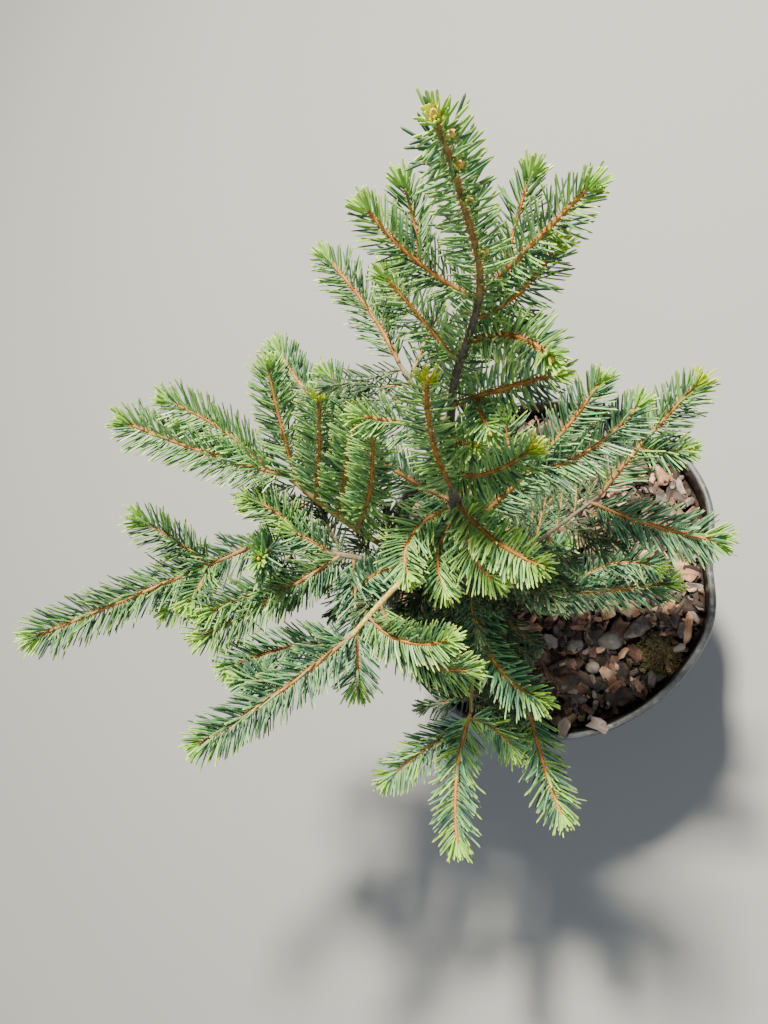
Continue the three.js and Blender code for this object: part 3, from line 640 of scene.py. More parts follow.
_, tufts, gaps = grains(tree, (4, 3.0), (1.5, 2.0))
coloured = laid_over(tree, "#5a5430", "#8e8450", tufts, 0.38, 0.62)
coloured = laid_over(tree, coloured, "#3c3320", gaps, 0.55, 0.7, 0.0, 0.7)
tree.links.new(coloured, shader.inputs["Base Color"])
shader.inputs["Roughness"].default_value = 0.85
dress(moss, dry_moss, "bark_substrate", "substrate")

# %% [markdown]
# ## How the plant grows
# Every limb is one curve with five numbers: the bearing and rise halfway along it, its length, and how
# much bearing and rise change from foot to tip. Drawing each branch by hand would work too, but the
# rule keeps the limbs where the solids have them. The trunk is a smooth line through nine stations.
#
# The rows are copied from the solids' source. Nearly all of them, and the stations' places, were made by
# a program beforehand: it fitted each curve, by least squares, to points read off the photograph, with a
# guessed height for the tip. The four low sprays at the end were chosen one by one.

# %% The limb book
TRUNK = np.array([
    # height, x, y, radius
    (172.3, -13, -29, 8.6),
    (190, -14, -31, 6.6),
    (250, -15, -34, 5.6),
    (325, -14, -36, 4.7),
    (395, 2, -4, 3.9),
    (465, 25, 25, 3.2),
    (530, 60, 40, 2.4),
    (590, 72, 40, 1.7),
    (635, 80, 29, 1.0),
])

BOUGHS = {
    "bough_upper_left": dict(height=448, bearing=124, rise=20, length=42, turn=-17, lift=0, radius=1.9),
    "bough_left_high": dict(height=301, bearing=146, rise=38, length=148, turn=-32, lift=4, radius=2.7),
    "bough_left": dict(height=325, bearing=169, rise=25, length=135, turn=1, lift=1, radius=2.6),
    "bough_left_front": dict(height=373, bearing=-140, rise=-2, length=93, turn=11, lift=1, radius=2.5),
    "bough_right": dict(height=301, bearing=26, rise=20, length=105, turn=-1, lift=3, radius=2.5),
    "bough_front": dict(height=273, bearing=-100, rise=4, length=85, turn=17, lift=-1, radius=2.3),
    "bough_front_right": dict(height=252, bearing=-77, rise=2, length=79, turn=-3, lift=0, radius=2.3),
}

MASSES = [
    # name, parent, height or share along it, bearing, rise, length, turn, lift, twigs, side shoots
    ("spray_crown_left", "trunk", 525, 144, 51, 59, -46, -1, 1, []),
    ("spray_crown_right", "trunk", 528, 10, 35, 63, 5, 1, 1, []),
    ("spray_crown_low", "trunk", 514, 7, 35, 53, 55, 4, 0, []),
    ("spray_crown_front", "trunk", 500, -38, 35, 70, -49, -7, 0, []),
    ("spray_upper_left", "bough_upper_left", 1, 119, 25, 68, 24, 2, 1, []),
    ("spray_upper_inner", "trunk", 487, 125, 54, 54, 5, -2, 0, []),
    ("spray_upright", "trunk", 402, 45, 73, 105, -29, -18, 0, []),
    ("spray_centre_front", "trunk", 395, -42, 30, 88, 24, 5, 0, [(0.21, -69, -4, 43, 76, 0)]),
    ("spray_centre_low", "trunk", 382, -100, -2, 49, 84, -1, 0, []),
    ("spray_inner_left", "trunk", 438, 168, 39, 51, 26, 1, 0, []),
    ("spray_inner_turned", "trunk", 387, -115, 24, 62, 126, -3, 0, []),
    ("spray_inner_right", "trunk", 437, -35, 50, 45, -5, 3, 0, []),
    ("spray_right_high", "trunk", 462, -13, 35, 76, -2, -2, 1, []),
    ("spray_back_left", "trunk", 393, 135, 12, 153, -36, -3, 1, [(0.49, 101, 28, 42, 64, 1)]),
    ("spray_left_high", "bough_left_high", 1, 161, 35, 107, -12, 3, 0, [(0.11, 141, 38, 78, 35, 1)]),
    ("spray_left_fan_a", "bough_left_high", 0.93, 80, 45, 83, -14, -2, 0, []),
    ("spray_left_fan_b", "bough_left_high", 0.84, 39, 54, 92, 3, 6, 0, []),
    ("spray_left_fan_c", "bough_left_high", 0.71, 27, 55, 110, -14, 2, 0, []),
    ("spray_left_fan_d", "bough_left_high", 0.62, 25, 57, 117, 43, 8, 0, []),
    ("spray_left", "bough_left", 1, -150, 30, 150, 1, 3, 1,
     [(0.25, 136, 51, 53, 18, 1), (0.21, -135, 10, 46, -31, 1)]),
    ("spray_left_star", "bough_left", 0.94, -42, 59, 66, 0, 0, 0, []),
    ("spray_left_inner_a", "bough_left", 0.82, 131, 34, 49, 78, 1, 0, []),
    ("spray_left_inner_b", "bough_left", 0.67, 149, 41, 33, 28, 0, 0, []),
    ("spray_left_mid", "bough_left", 0.62, -145, 23, 103, -6, 1, 1, [(0.33, -154, 33, 62, 28, -1)]),
    ("spray_left_front", "bough_left_front", 1, -141, 22, 111, -11, -1, 1, [(0.05, -169, 9, 80, 25, -1)]),
    ("spray_front_inner_a", "bough_left_front", 0.83, -17, 13, 65, 63, 2, 0, []),
    ("spray_front_inner_b", "bough_left_front", 0.71, -39, -20, 75, 90, -2, 0, []),
    ("spray_left_under", "bough_left", 0.56, -99, -22, 92, -6, -1, 1, [(0.25, 11, 25, 52, -48, 0)]),
    ("spray_front_star", "trunk", 296, -60, 15, 97, 76, -7, 1, []),
    ("spray_front", "bough_front", 1, -95, 8, 86, 30, -1, 0,
     [(0.09, -146, 7, 69, 14, 0), (0.05, -40, -20, 39, -65, 0)]),
    ("spray_front_right", "bough_front_right", 1, -74, 5, 78, 10, -1, 0, []),
    ("spray_right_under", "trunk", 223, 1, -1, 118, 6, 0, 0, [(0.38, 10, 11, 73, -78, -2)]),
    ("spray_right", "bough_right", 1, 40, 16, 85, -9, 1, 1, []),
    ("spray_right_tip", "bough_right", 0.94, -22, -10, 77, 16, 0, 0, []),
    ("spray_right_low", "bough_right", 0.61, -95, -50, 41, 15, 0, 0, []),
    ("spray_right_mid", "trunk", 369, 33, 22, 123, 19, 2, 0,
     [(0.46, 23, 8, 73, 49, 1), (0.34, 79, 34, 45, 9, 1)]),
    ("spray_inner_fan", "trunk", 416, -6, 33, 65, 55, -1, 0, []),
    ("spray_back_low", "trunk", 262, 100, 16, 104, 10, 4, 2, []),
    ("spray_back_right_low", "trunk", 240, 55, 12, 96, -8, 4, 2, []),
    ("spray_back_left_low", "trunk", 246, 150, 12, 96, 8, 4, 2, []),
    ("spray_left_low", "trunk", 232, -158, 10, 92, -6, 4, 2, []),
]

LEADER_SPURS = [
    # height on the leader, bearing, rise
    (624, -32, 30),
    (606, -38, 32),
    (585, -38, 32),
    (553, -32, 30),
    (516, 150, 20),
]

# %% The growth rule
CORE, TOOTH_PITCH, TWIG_CLEARANCE = 1.35, 15.0, 6.0
LEADER_FOOT, FINE_STEPS, BOUGH_STEPS, WOOD_STEPS = 540, 32, 7, 70


def seeded(seed):
    """The seeded draw of the solids: a 32-bit mixing of a counter, between 0 and 1."""
    state = [seed & 0xFFFFFFFF]

    def draw():
        state[0] = (state[0] + 0x6D2B79F5) & 0xFFFFFFFF
        t = state[0]
        t = ((t ^ (t >> 15)) * (1 | t)) & 0xFFFFFFFF
        t = ((t + (((t ^ (t >> 7)) * (61 | t)) & 0xFFFFFFFF)) & 0xFFFFFFFF) ^ t
        return (t ^ (t >> 14)) / 4294967296
    return draw


def trunk_at(z):
    """Cubic through the stations with slopes from their neighbours: columns x, y and radius."""
    z = np.asarray(z, float)
    height, values = TRUNK[:, 0], TRUNK[:, 1:]
    before, after = np.r_[0, np.arange(len(TRUNK) - 1)], np.r_[np.arange(1, len(TRUNK)), len(TRUNK) - 1]
    slope = (values[after] - values[before]) / (height[after] - height[before])[:, None]
    i = np.clip(np.searchsorted(height, z) - 1, 0, len(TRUNK) - 2)
    h = (height[i + 1] - height[i])[..., None]
    t = ((z - height[i]) / h[..., 0])[..., None]
    return ((2 * t**3 - 3 * t**2 + 1) * values[i] + (t**3 - 2 * t**2 + t) * h * slope[i]
            + (3 * t**2 - 2 * t**3) * values[i + 1] + (t**3 - t**2) * h * slope[i + 1])


def trunk_points(z):
    """Points on the trunk's line at an array of heights."""
    return np.concatenate([trunk_at(z)[..., :2], np.asarray(z, float)[..., None]], -1)


def limb_line(foot, bearing, rise, length, turn, lift, steps):
    """Equal steps: each goes along bearing + turn x s and rise + lift x s, with s from -1/2 to 1/2."""
    s = (np.arange(steps) + 0.5) / steps - 0.5
    a, e = np.radians(bearing + turn * s), np.radians(rise + lift * s)
    way = np.stack([np.cos(e) * np.cos(a), np.cos(e) * np.sin(a), np.sin(e)], -1)
    return np.concatenate([[foot], foot + np.cumsum(way, 0) * length / steps])


def along(points, t):
    """The point a share t along a line of equal steps."""
    f = min(max(t, 0.0), 1.0) * (len(points) - 1)
    i = min(int(f), len(points) - 2)
    return points[i] + (points[i + 1] - points[i]) * (f - i)


def steps_of(length):
    """The steps that the solids take along a shoot."""
    return max(3, int(math.floor(length / TOOTH_PITCH + 0.5)))


coarse, wood_limbs = {}, {}
for name, bough in BOUGHS.items():
    foot = trunk_points(np.array([bough["height"]]))[0]
    five = (bough["bearing"], bough["rise"], bough["length"], bough["turn"], bough["lift"])
    coarse[name] = limb_line(foot, *five, BOUGH_STEPS)
    wood_limbs[name] = limb_line(foot, *five, WOOD_STEPS)

# %% Shoots, side shoots and the seeded twigs of the solids
MAIN, SIDE, TWIG, WEAK, SPUR = range(5)
BARE_FOOT = {MAIN: 4.0, SIDE: 1.5, TWIG: 1.0, WEAK: 1.0, SPUR: 1.5}
SPUR_LENGTH = 3.6
shoots = []        # one dictionary each: mass number, fine line, length and order
marks = {"owner": [], "point": [], "radius": []}


def mark(owner, points, radius):
    """Notes points along a limb, so that a twig can keep clear of them."""
    count = (len(points) - 1) * 4
    for i in range(count + 1):
        marks["owner"].append(owner)
        marks["point"].append(along(points, i / count))
        marks["radius"].append(radius)


def grow(mass, foot, five, order):
    """Adds a shoot to the list and gives back the solids' coarse line of it."""
    shoots.append({"mass": mass, "line": limb_line(foot, *five, FINE_STEPS),
                   "length": float(five[2]), "order": order})
    return limb_line(foot, *five, steps_of(five[2]))


def room(points, owner):
    """The least clear distance from points to the marks of every other owner."""
    other = np.array([o != owner for o in marks["owner"]])
    gaps = np.linalg.norm(np.array(points)[:, None] - np.array(marks["point"])[other][None], axis=-1)
    return (gaps - np.array(marks["radius"])[other]).min()


main_lines, side_lines = [], []
for index, (name, on, at, *five, twigs, sides) in enumerate(MASSES):
    foot = trunk_points(np.array([at]))[0] if on == "trunk" else along(coarse[on], at)
    main_lines.append(grow(index, foot, five, MAIN))
    side_lines.append([grow(index, along(main_lines[-1], side[0]), side[1:], SIDE) for side in sides])

for low, high in zip(TRUNK[:-1, 0], TRUNK[1:, 0]):
    for z in low + (high - low) * np.arange(10) / 10:
        marks["owner"].append("spray_leader" if z > LEADER_FOOT else "trunk")
        marks["point"].append(trunk_points(np.array([z]))[0])
        marks["radius"].append(trunk_at(np.array([z]))[0, 2])
for name, bough in BOUGHS.items():
    mark(name, coarse[name], bough["radius"])
for index, row in enumerate(MASSES):
    for line in [main_lines[index], *side_lines[index]]:
        mark(row[0], line, CORE)

for index, (name, on, at, bearing, rise, length, turn, lift, twigs, sides) in enumerate(MASSES):
    draw = seeded(7000 + 97 * index)
    for k in range(twigs):
        share = 0.24 + 0.42 * ((k + 0.6 * draw()) / twigs)
        hand = 1 if (k + index) % 2 else -1
        five = (bearing + turn * (share - 0.5) + hand * (46 + 12 * draw()), rise * 0.6 + 6 * draw(),
                26 + 12 * draw(), -hand * 18, 6)
        foot = along(main_lines[index], share)
        line = limb_line(foot, *five, steps_of(five[2]))
        if room(line, name) > TWIG_CLEARANCE:
            grow(index, foot, five, TWIG)
            mark(name, line, CORE)
for z, bearing, rise in LEADER_SPURS:
    grow(len(MASSES), trunk_points(np.array([z]))[0], (bearing, rise, SPUR_LENGTH, 10, 0), SPUR)
print("shoots of the solids:", len(shoots), "total length", round(sum(s["length"] for s in shoots)), "mm")

# %% [markdown]
# ## Finer twigs
# The heart of a young spruce is full of short weak twigs on the trunk and the older wood, which the
# plain solids leave out. They follow the same rule at a smaller size: a spiral up the trunk, and left
# and right in turn along each bough. The front left bough is bare and gets none. Each twig is kept only
# where it has room and clears the bark in the pot.

# %% Finer twigs by the same rule
FINE_CLEARANCE, FINE_ABOVE_BED = 5.0, 14.0
ON_TRUNK, FIRST_HEIGHT, HEIGHT_STEP, SPIRAL_TURN = 34, 226, 4.6, 2.39996    # mm, and the golden angle
BOUGH_SPACING = 5.0
draw = seeded(52000)
starts = []
for step in range(ON_TRUNK):
    z = FIRST_HEIGHT + HEIGHT_STEP * step
    bearing = math.degrees(step * SPIRAL_TURN) % 360
    reach = 0.5 if bearing > 270 and z < 320 else 1.0
    foot = trunk_points(np.array([z]))[0]
    starts.append(("trunk", foot, bearing, 4 + 30 * draw(), reach * (30 + 20 * draw())))
for number, (name, bough) in enumerate(BOUGHS.items()):
    tries = 0 if name == "bough_left_front" else int(bough["length"] / BOUGH_SPACING)
    for k in range(tries):
        foot = along(wood_limbs[name], 0.10 + 0.86 * (k + draw()) / tries)
        hand = 1 if (k + number) % 2 and name != "bough_front_right" else -1
        starts.append((name, foot, bough["bearing"] + hand * (48 + 22 * draw()),
                       bough["rise"] * 0.5 - 34 + 30 * draw(), 24 + 22 * draw()))
for name, foot, bearing, rise, length in starts:
    five = (bearing, rise, length, 30 * (draw() - 0.5), 10)
    line = limb_line(foot, *five, 3)
    clear = all(room(line[k:k + 1], name) > FINE_CLEARANCE for k in (2, 3))
    if clear and line[:, 2].min() > SOIL_HEIGHT + FINE_ABOVE_BED:
        grow(len(MASSES), foot, five, WEAK)
        mark("fine", line[1:], CORE)
print("finer twigs:", sum(s["order"] == WEAK for s in shoots))

# %% [markdown]
# ## Bark of the trunk and boughs
# Young spruce bark is grey-brown, thin and finely scaly, rough with the pegs of fallen needles, and
# swollen where a limb leaves. A tube carried along each limb's line takes that relief directly in its
# radius, as a sum of collars, a root flare and small scales, so that the outline is rough too.

# %% Tubes along lines
def carried_axes(lines):
    """Forward, right and up at each ring, carried along the line without a twist."""
    forward = unit(np.gradient(lines, axis=1))
    steep = np.abs(forward[:, 0, 2:3]) > 0.985
    reference = np.where(steep, [0.0, 1.0, 0.0], [0.0, 0.0, 1.0])
    right = np.empty_like(forward)
    right[:, 0] = unit(np.cross(forward[:, 0], reference))
    for ring in range(1, lines.shape[1]):
        before = right[:, ring - 1]
        ahead = forward[:, ring]
        right[:, ring] = unit(before - (before * ahead).sum(-1, keepdims=True) * ahead)
    return forward, right, np.cross(right, forward)


def tubes(lines, radii, sides, right, up, ends, flat=1.0):
    """Rings of points round each line: radius x (right cos a + up sin a), closed by two end points."""
    count, rings = lines.shape[:2]
    angle = np.arange(sides) * 2 * np.pi / sides
    around = right[:, :, None] * np.cos(angle)[:, None] + up[:, :, None] * (flat * np.sin(angle))[:, None]
    radii = radii[..., None] if radii.ndim == 2 else radii
    skin = lines[:, :, None] + around * radii[..., None]
    points = np.concatenate([skin.reshape(count, -1, 3), ends], 1)
    # The rings run clockwise along the line, so each face of the shared pattern is turned over.
    turned_over = [np.roll(faces[:, ::-1], 1, axis=1) for faces in ring_faces(rings, sides)]
    return points.reshape(-1, 3), *repeated(turned_over, count, points.shape[1])


# %% Trunk and boughs with scales, collars and a root flare
def bark_relief(length_mm, angle, seed):
    """Scales and ridges as a share of the radius: crossed waves whose phase wanders along the limb."""
    wander = np.sin(length_mm * 0.21 + seed) * 1.7 + np.sin(length_mm * 0.083 + 2.1 * seed)
    ridges = 0.035 * np.sin(5 * angle + wander) + 0.03 * np.sin(9 * angle - 1.3 * wander + seed)
    scales = 0.04 * np.sin(length_mm * 1.45 + 2.2 * np.sin(3 * angle + seed)) * np.cos(4 * angle + wander)
    pegs = 0.09 * np.clip(np.sin(length_mm * 2.6 + 5 * angle) * np.sin(8 * angle - length_mm * 0.9), 0.45, 1)
    return (ridges + scales + pegs - 0.04) * 0.8


SKIN_RADIUS = np.array([(165, 8.2), (190, 6.2), (250, 5.2), (325, 4.4), (395, 3.3), (440, 2.5), (465, 2.05),
                        (530, 1.45), (545, 1.2), (590, 0.98), (635, 0.78)])


def skin_radius(z):
    """The wood's own radius at a height, a little inside the solid trunk's, between the rows above."""
    return np.interp(z, SKIN_RADIUS[:, 0], SKIN_RADIUS[:, 1])


TRUNK_SIDES, BOUGH_SIDES, TRUNK_RINGS, BURIED_FOOT = 30, 20, 330, 165.0
FLARE_LEVEL, FLARE_HEIGHT, COLLAR_HEIGHT, YOUNG_FROM = 172.0, 9.0, 5.0, 518.0
trunk_z = np.linspace(BURIED_FOOT, TRUNK[-1, 0], TRUNK_RINGS)
trunk_line = trunk_points(np.maximum(trunk_z, TRUNK[0, 0]))
trunk_line[:, 2] = trunk_z
trunk_angle = np.arange(TRUNK_SIDES) * 2 * np.pi / TRUNK_SIDES
forward, right, up = carried_axes(trunk_line[None])
radial = right[0][:, None] * np.cos(trunk_angle)[:, None] + up[0][:, None] * np.sin(trunk_angle)[:, None]
relief = 1 + bark_relief(trunk_z[:, None], trunk_angle[None], 1.0)
flare = np.exp(-np.clip(trunk_z - FLARE_LEVEL, 0, None) / FLARE_HEIGHT)[:, None]
relief = relief + flare * (0.16 + 0.14 * np.cos(5 * trunk_angle + 0.6))[None]
collars = [(bough["height"], bough["bearing"], 0.5) for bough in BOUGHS.values()]
collars += [(row[2], row[3], 0.28) for row in MASSES if row[1] == "trunk"]
for z, bearing, much in collars:
    way = np.array([math.cos(math.radians(bearing)), math.sin(math.radians(bearing)), 0])
    facing = np.clip(radial @ way, 0, 1) ** 2
    relief = relief + much * facing * np.exp(-((trunk_z - z) / COLLAR_HEIGHT) ** 2)[:, None]
trunk_radius = (skin_radius(trunk_z)[:, None] * relief)[None]
ends = np.stack([trunk_line[0], trunk_line[-1] + [0.6, -0.2, 1.2]])[None]
wood_parts = [tubes(trunk_line[None], trunk_radius, TRUNK_SIDES, right, up, ends)]
young_top = np.clip((trunk_z - YOUNG_FROM) / 16, 0, 1)
youth = [np.concatenate([np.repeat(young_top, TRUNK_SIDES), [0.0, 1.0]])]
tan = [np.zeros(len(wood_parts[0][0]))]

BARE_TAN = {"bough_left_front": 1.0, "bough_left_high": 0.55, "bough_front": 0.5}
BOUGH_GIRTH = {"bough_right": 0.60}
bough_angle = np.arange(BOUGH_SIDES) * 2 * np.pi / BOUGH_SIDES
for seed, (name, bough) in enumerate(BOUGHS.items()):
    line = wood_limbs[name]
    walked = np.linspace(0, bough["length"], len(line))
    taper = (1 - 0.32 * walked / bough["length"]) * (1 + 0.35 * np.exp(-walked / 6.0))
    radius = BOUGH_GIRTH.get(name, 0.84) * bough["radius"] * taper
    radius = radius[:, None] * (1 + bark_relief(walked[:, None], bough_angle[None], seed + 2.0))
    forward, right, up = carried_axes(line[None])
    ends = np.stack([line[0], line[-1] + unit(line[-1] - line[-2]) * 0.5])[None]
    wood_parts.append(tubes(line[None], radius[None], BOUGH_SIDES, right, up, ends))
    youth.append(np.zeros(len(wood_parts[-1][0])))
    tan.append(np.full(len(wood_parts[-1][0]), BARE_TAN.get(name, 0.12)))
surface = np.stack([np.concatenate(tan), np.concatenate(youth)], -1)
spruce_bark = put_mesh("bark_of_trunk_and_boughs", *joined(wood_parts), uv=surface)

# %% [markdown]
# The bark's colour follows its age. The leader's top is still orange-brown, the bare part of the front
# left bough shows tan cork, and the rest is grey. Both shares are kept in the UV map, x for tan and y
# for youth. Scales of about 2 mm and fine flakes break the colour up, and the surface is quite matt.

# %% Scaly grey-brown spruce bark
scaly_bark, tree, shader = new_material("scaly_young_spruce_bark")
place, patches, fine = grains(tree, (9, 4.0), (0.9, 4.0))
scales = add(tree, "ShaderNodeTexVoronoi", {"Vector": place, "Scale": per_metre(2.2)}).outputs["Distance"]
surface = add(tree, "ShaderNodeUVMap", uv_map="surface").outputs["UV"]
ages = add(tree, "ShaderNodeSeparateXYZ", {"Vector": surface})
bare = laid_over(tree, "#cfb04a", "#e8cc6c", patches, 0.4, 0.62)
old = laid_over(tree, "#5a544e", "#787069", patches, 0.4, 0.62)
new = laid_over(tree, "#8c6236", "#b48e56", patches, 0.4, 0.62)
coloured = laid_over(tree, old, bare, ages.outputs["X"])
coloured = laid_over(tree, coloured, new, ages.outputs["Y"])
coloured = laid_over(tree, coloured, "#4c3d30", scales, 0.36, 0.62, 0.0, 0.4)
coloured = laid_over(tree, coloured, "#c9bfae", fine, 0.6, 0.72, 0.0, 0.5)
tree.links.new(coloured, shader.inputs["Base Color"])
relief = add(tree, "ShaderNodeBump", {"Strength": 0.6, "Distance": 0.4 * MM, "Height": fine})
tree.links.new(relief.outputs["Normal"], shader.inputs["Normal"])
shader.inputs["Roughness"].default_value = 0.85
dress(spruce_bark, scaly_bark, "bark_wood", "trunk", *BOUGHS)

# %% [markdown]
# ## Shoots and their pegs
# A one- or two-year-old spruce shoot is about 2 mm thick and orange-brown. Each needle stands on a peg,
# and the pegs are what one sees along the middle of a spray from above. Tubes give the stems. The pegs
# are three-sided studs at the same places where the needles stand, so both come from one list.

# %% Stems: their lines, axes and thickness
STEM_RINGS, LEADER_FROM, LEADER_LENGTH = FINE_STEPS + 1, 470, 172.0
leader_z = np.linspace(LEADER_FROM, TRUNK[-1, 0], STEM_RINGS)
stem_lines = np.stack([s["line"] for s in shoots] + [trunk_points(leader_z)])
stem_length = np.array([s["length"] for s in shoots] + [LEADER_LENGTH])
stem_order = np.array([s["order"] for s in shoots] + [MAIN])
stem_bare = np.array([BARE_FOOT[s["order"]] for s in shoots] + [0.0])
stem_mass = np.array([s["mass"] for s in shoots] + [len(MASSES)])
LEADER = len(shoots)
is_leader = np.arange(len(stem_lines)) == LEADER
stem_forward, stem_right, stem_up = carried_axes(stem_lines)
LIT_SIDE = unit(np.array([0.22, -0.34, 0.91]))
stem_up = unit(LIT_SIDE - (stem_forward * LIT_SIDE).sum(-1, keepdims=True) * stem_forward)
stem_right = np.cross(stem_forward, stem_up)
foot_radius = np.where(stem_order == MAIN, 1.22, 0.86) * np.clip(stem_length / 70, 0.75, 1.15)
stem_radius = foot_radius[:, None] * (1 - 0.4 * np.linspace(0, 1, STEM_RINGS)[None])
stem_radius[LEADER] = skin_radius(leader_z) * 0.9

# %% Places of the needles along every shoot
NAMES = [*(row[0] for row in MASSES), "spray_leader"]
OPEN = ["spray_front", "spray_front_right", "spray_left_fan_b", "spray_left_fan_c", "spray_left_fan_d",
        "spray_upright", "spray_centre_front", "spray_inner_turned", "spray_inner_right"]
GOLDEN = math.radians(137.508)
needles_per_mm = np.where(np.isin(NAMES, OPEN)[stem_mass], 2.3, 2.7)
needles_per_mm[stem_order == WEAK] = 1.25
needles_per_mm[LEADER] = 2.4
needle_rng = np.random.default_rng(7)
counts = np.maximum((stem_length - stem_bare) * needles_per_mm, 6).astype(int)
stem = np.repeat(np.arange(len(counts)), counts)
place_on_stem = np.concatenate([np.arange(c) for c in counts])
walked = stem_bare[stem] + (place_on_stem + needle_rng.uniform(0.1, 0.9, len(stem))) / needles_per_mm[stem]
walked = np.minimum(walked, stem_length[stem] - 0.2)
to_tip = stem_length[stem] - walked
turn_angle = place_on_stem * GOLDEN + needle_rng.normal(0, 0.25, len(stem))


def on_stem(values, stem, share):
    """Values at a share along each stem, between its two nearest rings."""
    f = np.clip(share, 0, 1) * (STEM_RINGS - 1)
    i = np.minimum(f.astype(int), STEM_RINGS - 2)
    rest = (f - i) if values.ndim == 2 else (f - i)[:, None]
    low, high = values[stem, i], values[stem, i + 1]
    return low + (high - low) * rest


share = walked / stem_length[stem]
foot = on_stem(stem_lines, stem, share)
ahead, beside, above = (unit(on_stem(axis, stem, share)) for axis in (stem_forward, stem_right, stem_up))
stem_thick = on_stem(stem_radius, stem, share)
print("needles along the stems:", len(stem))

# %% [markdown]
# Needles leave all round the stem in a spiral, each 137.5 degrees on from the last. They then turn out
# of the side that faces the light towards both flanks, so that the stem shows there like a seam, and
# the few that stay on top are short and lie forward. They stand at about 57 degrees at the flanks and
# close up round the tip. The parting is one sine of twice the turn, added to it.

# %% Which way each needle points
FLANK_LEAN, TOP_LEANS_LESS, UNDER_LEANS_LESS, TIP_LEANS_LESS, LEADER_LEANS_LESS = 57, 14, 6, 30, 5
order = stem_order[stem]
parted = turn_angle + np.where(order == WEAK, 0.1, 0.40) * np.sin(2 * turn_angle)
out = above * np.cos(parted)[:, None] + beside * np.sin(parted)[:, None]
on_top = np.clip(np.cos(parted), 0, 1) ** 2
below = np.clip(-np.cos(parted), 0, 1)
near_tip = np.clip(1 - to_tip / 15, 0, 1)
off_the_seam = on_top < np.where(is_leader[stem], 0.85, 0.62)
kept = off_the_seam | (order == WEAK) | (needle_rng.uniform(0, 1, len(stem)) < 0.30 + 0.7 * near_tip)
lean = FLANK_LEAN - TOP_LEANS_LESS * on_top - UNDER_LEANS_LESS * below - TIP_LEANS_LESS * near_tip**1.3
lean = lean + needle_rng.normal(0, 6.0, len(stem)) - LEADER_LEANS_LESS * is_leader[stem]
lean = np.radians(np.clip(lean, 14, 74))
swept = 0.24 * (1 - on_top)
needle_way = unit(out * np.sin(lean)[:, None] + ahead * np.cos(lean)[:, None] + above * swept[:, None]
                  + needle_rng.normal(0, 0.06, (len(stem), 3)))

# %% How long each needle is: less at the foot, at the tip, on top, in the crown and on small shoots
NEEDLE_LENGTH = 17.2
ORDER_SHARE = np.array([1.0, 1.0, 0.9, 0.72, 0.42])      # main, side, twig, weak and spur
CROWN_FROM, CROWN_DEPTH, CROWN_LESS = 330, 200, 0.27
from_foot = np.clip((walked - stem_bare[stem]) / 9, 0, 1)
crown_foot = CROWN_FROM + np.clip(-foot[:, 0] - 40, 0, 120)
in_crown = np.clip((foot[:, 2] - crown_foot) / CROWN_DEPTH, 0, 1)
needle_length = NEEDLE_LENGTH * (0.66 + 0.34 * from_foot) * (1 - 0.42 * near_tip) * (1 - 0.28 * on_top)
needle_length *= (1 - CROWN_LESS * in_crown) * ORDER_SHARE[order] * needle_rng.normal(1, 0.085, len(stem))
needle_bend = ahead * 0.13 + needle_rng.normal(0, 0.05, (len(stem), 3))
needle_foot = foot + out * (stem_thick + 0.35)[:, None]

# %% Stems and pegs
STEM_SIDES, PEG_SIDES, PEG_FOOT_RADIUS, PEG_TOP_RADIUS = 6, 3, 0.42, 0.28
line_ends = np.stack([stem_lines[:, 0], stem_lines[:, -1] + stem_forward[:, -1] * 0.8], 1)
up_the_stem = np.append(np.repeat(np.linspace(0, 1, STEM_RINGS), STEM_SIDES), [0, 1])
stem_surface = np.stack([np.tile(up_the_stem, len(stem_lines)),
                         np.repeat(stem_length / 150, len(up_the_stem))], -1)
stems = put_mesh("shoot_stems", *tubes(stem_lines, stem_radius, STEM_SIDES, stem_right, stem_up, line_ends),
                 uv=stem_surface)
seen = kept & (order != WEAK)
peg_way = unit(out * 0.75 + ahead * 0.66)[seen]
peg_side = unit(np.cross(peg_way, out[seen] + 1e-3))
peg_up = np.cross(peg_side, peg_way)
peg_foot = (foot + out * (stem_thick * 0.75)[:, None])[seen]
peg_line = np.stack([peg_foot, peg_foot + peg_way], 1)
peg_radius = np.tile([PEG_FOOT_RADIUS, PEG_TOP_RADIUS], (seen.sum(), 1))
peg_axes = (np.repeat(axis[:, None], 2, 1) for axis in (peg_side, peg_up))
pegs = put_mesh("needle_pegs", *tubes(peg_line, peg_radius, PEG_SIDES, *peg_axes, peg_line),
                uv=np.ones(((2 * PEG_SIDES + 2) * seen.sum(), 2)))

# %% [markdown]
# The skin of a young shoot is orange-brown and fades to olive-brown towards its foot, which the UV map's
# x tells. Fine pale flecks stand for the pegs' edges and the hairs between them.

# %% Orange-brown young spruce shoot
young_shoot, tree, shader = new_material("young_spruce_shoot_skin")
_, patches, fine = grains(tree, (6, 3.0), (0.8, 3.0))
surface = add(tree, "ShaderNodeUVMap", uv_map="surface").outputs["UV"]
youth = add(tree, "ShaderNodeSeparateXYZ", {"Vector": surface}).outputs["X"]
old = laid_over(tree, "#7d5c3b", "#a07a4c", patches, 0.38, 0.64)
new = laid_over(tree, "#a0642a", "#c68a40", patches, 0.38, 0.64)
coloured = laid_over(tree, old, new, youth, 0.0, 0.45)
coloured = laid_over(tree, coloured, "#ecd096", fine, 0.58, 0.74, 0.0, 0.6)
tree.links.new(coloured, shader.inputs["Base Color"])
relief = add(tree, "ShaderNodeBump", {"Strength": 0.4, "Distance": 0.3 * MM, "Height": fine})
tree.links.new(relief.outputs["Normal"], shader.inputs["Normal"])
shader.inputs["Roughness"].default_value = 0.6
dress(stems, young_shoot, "foliage")
dress(pegs, young_shoot, "foliage")

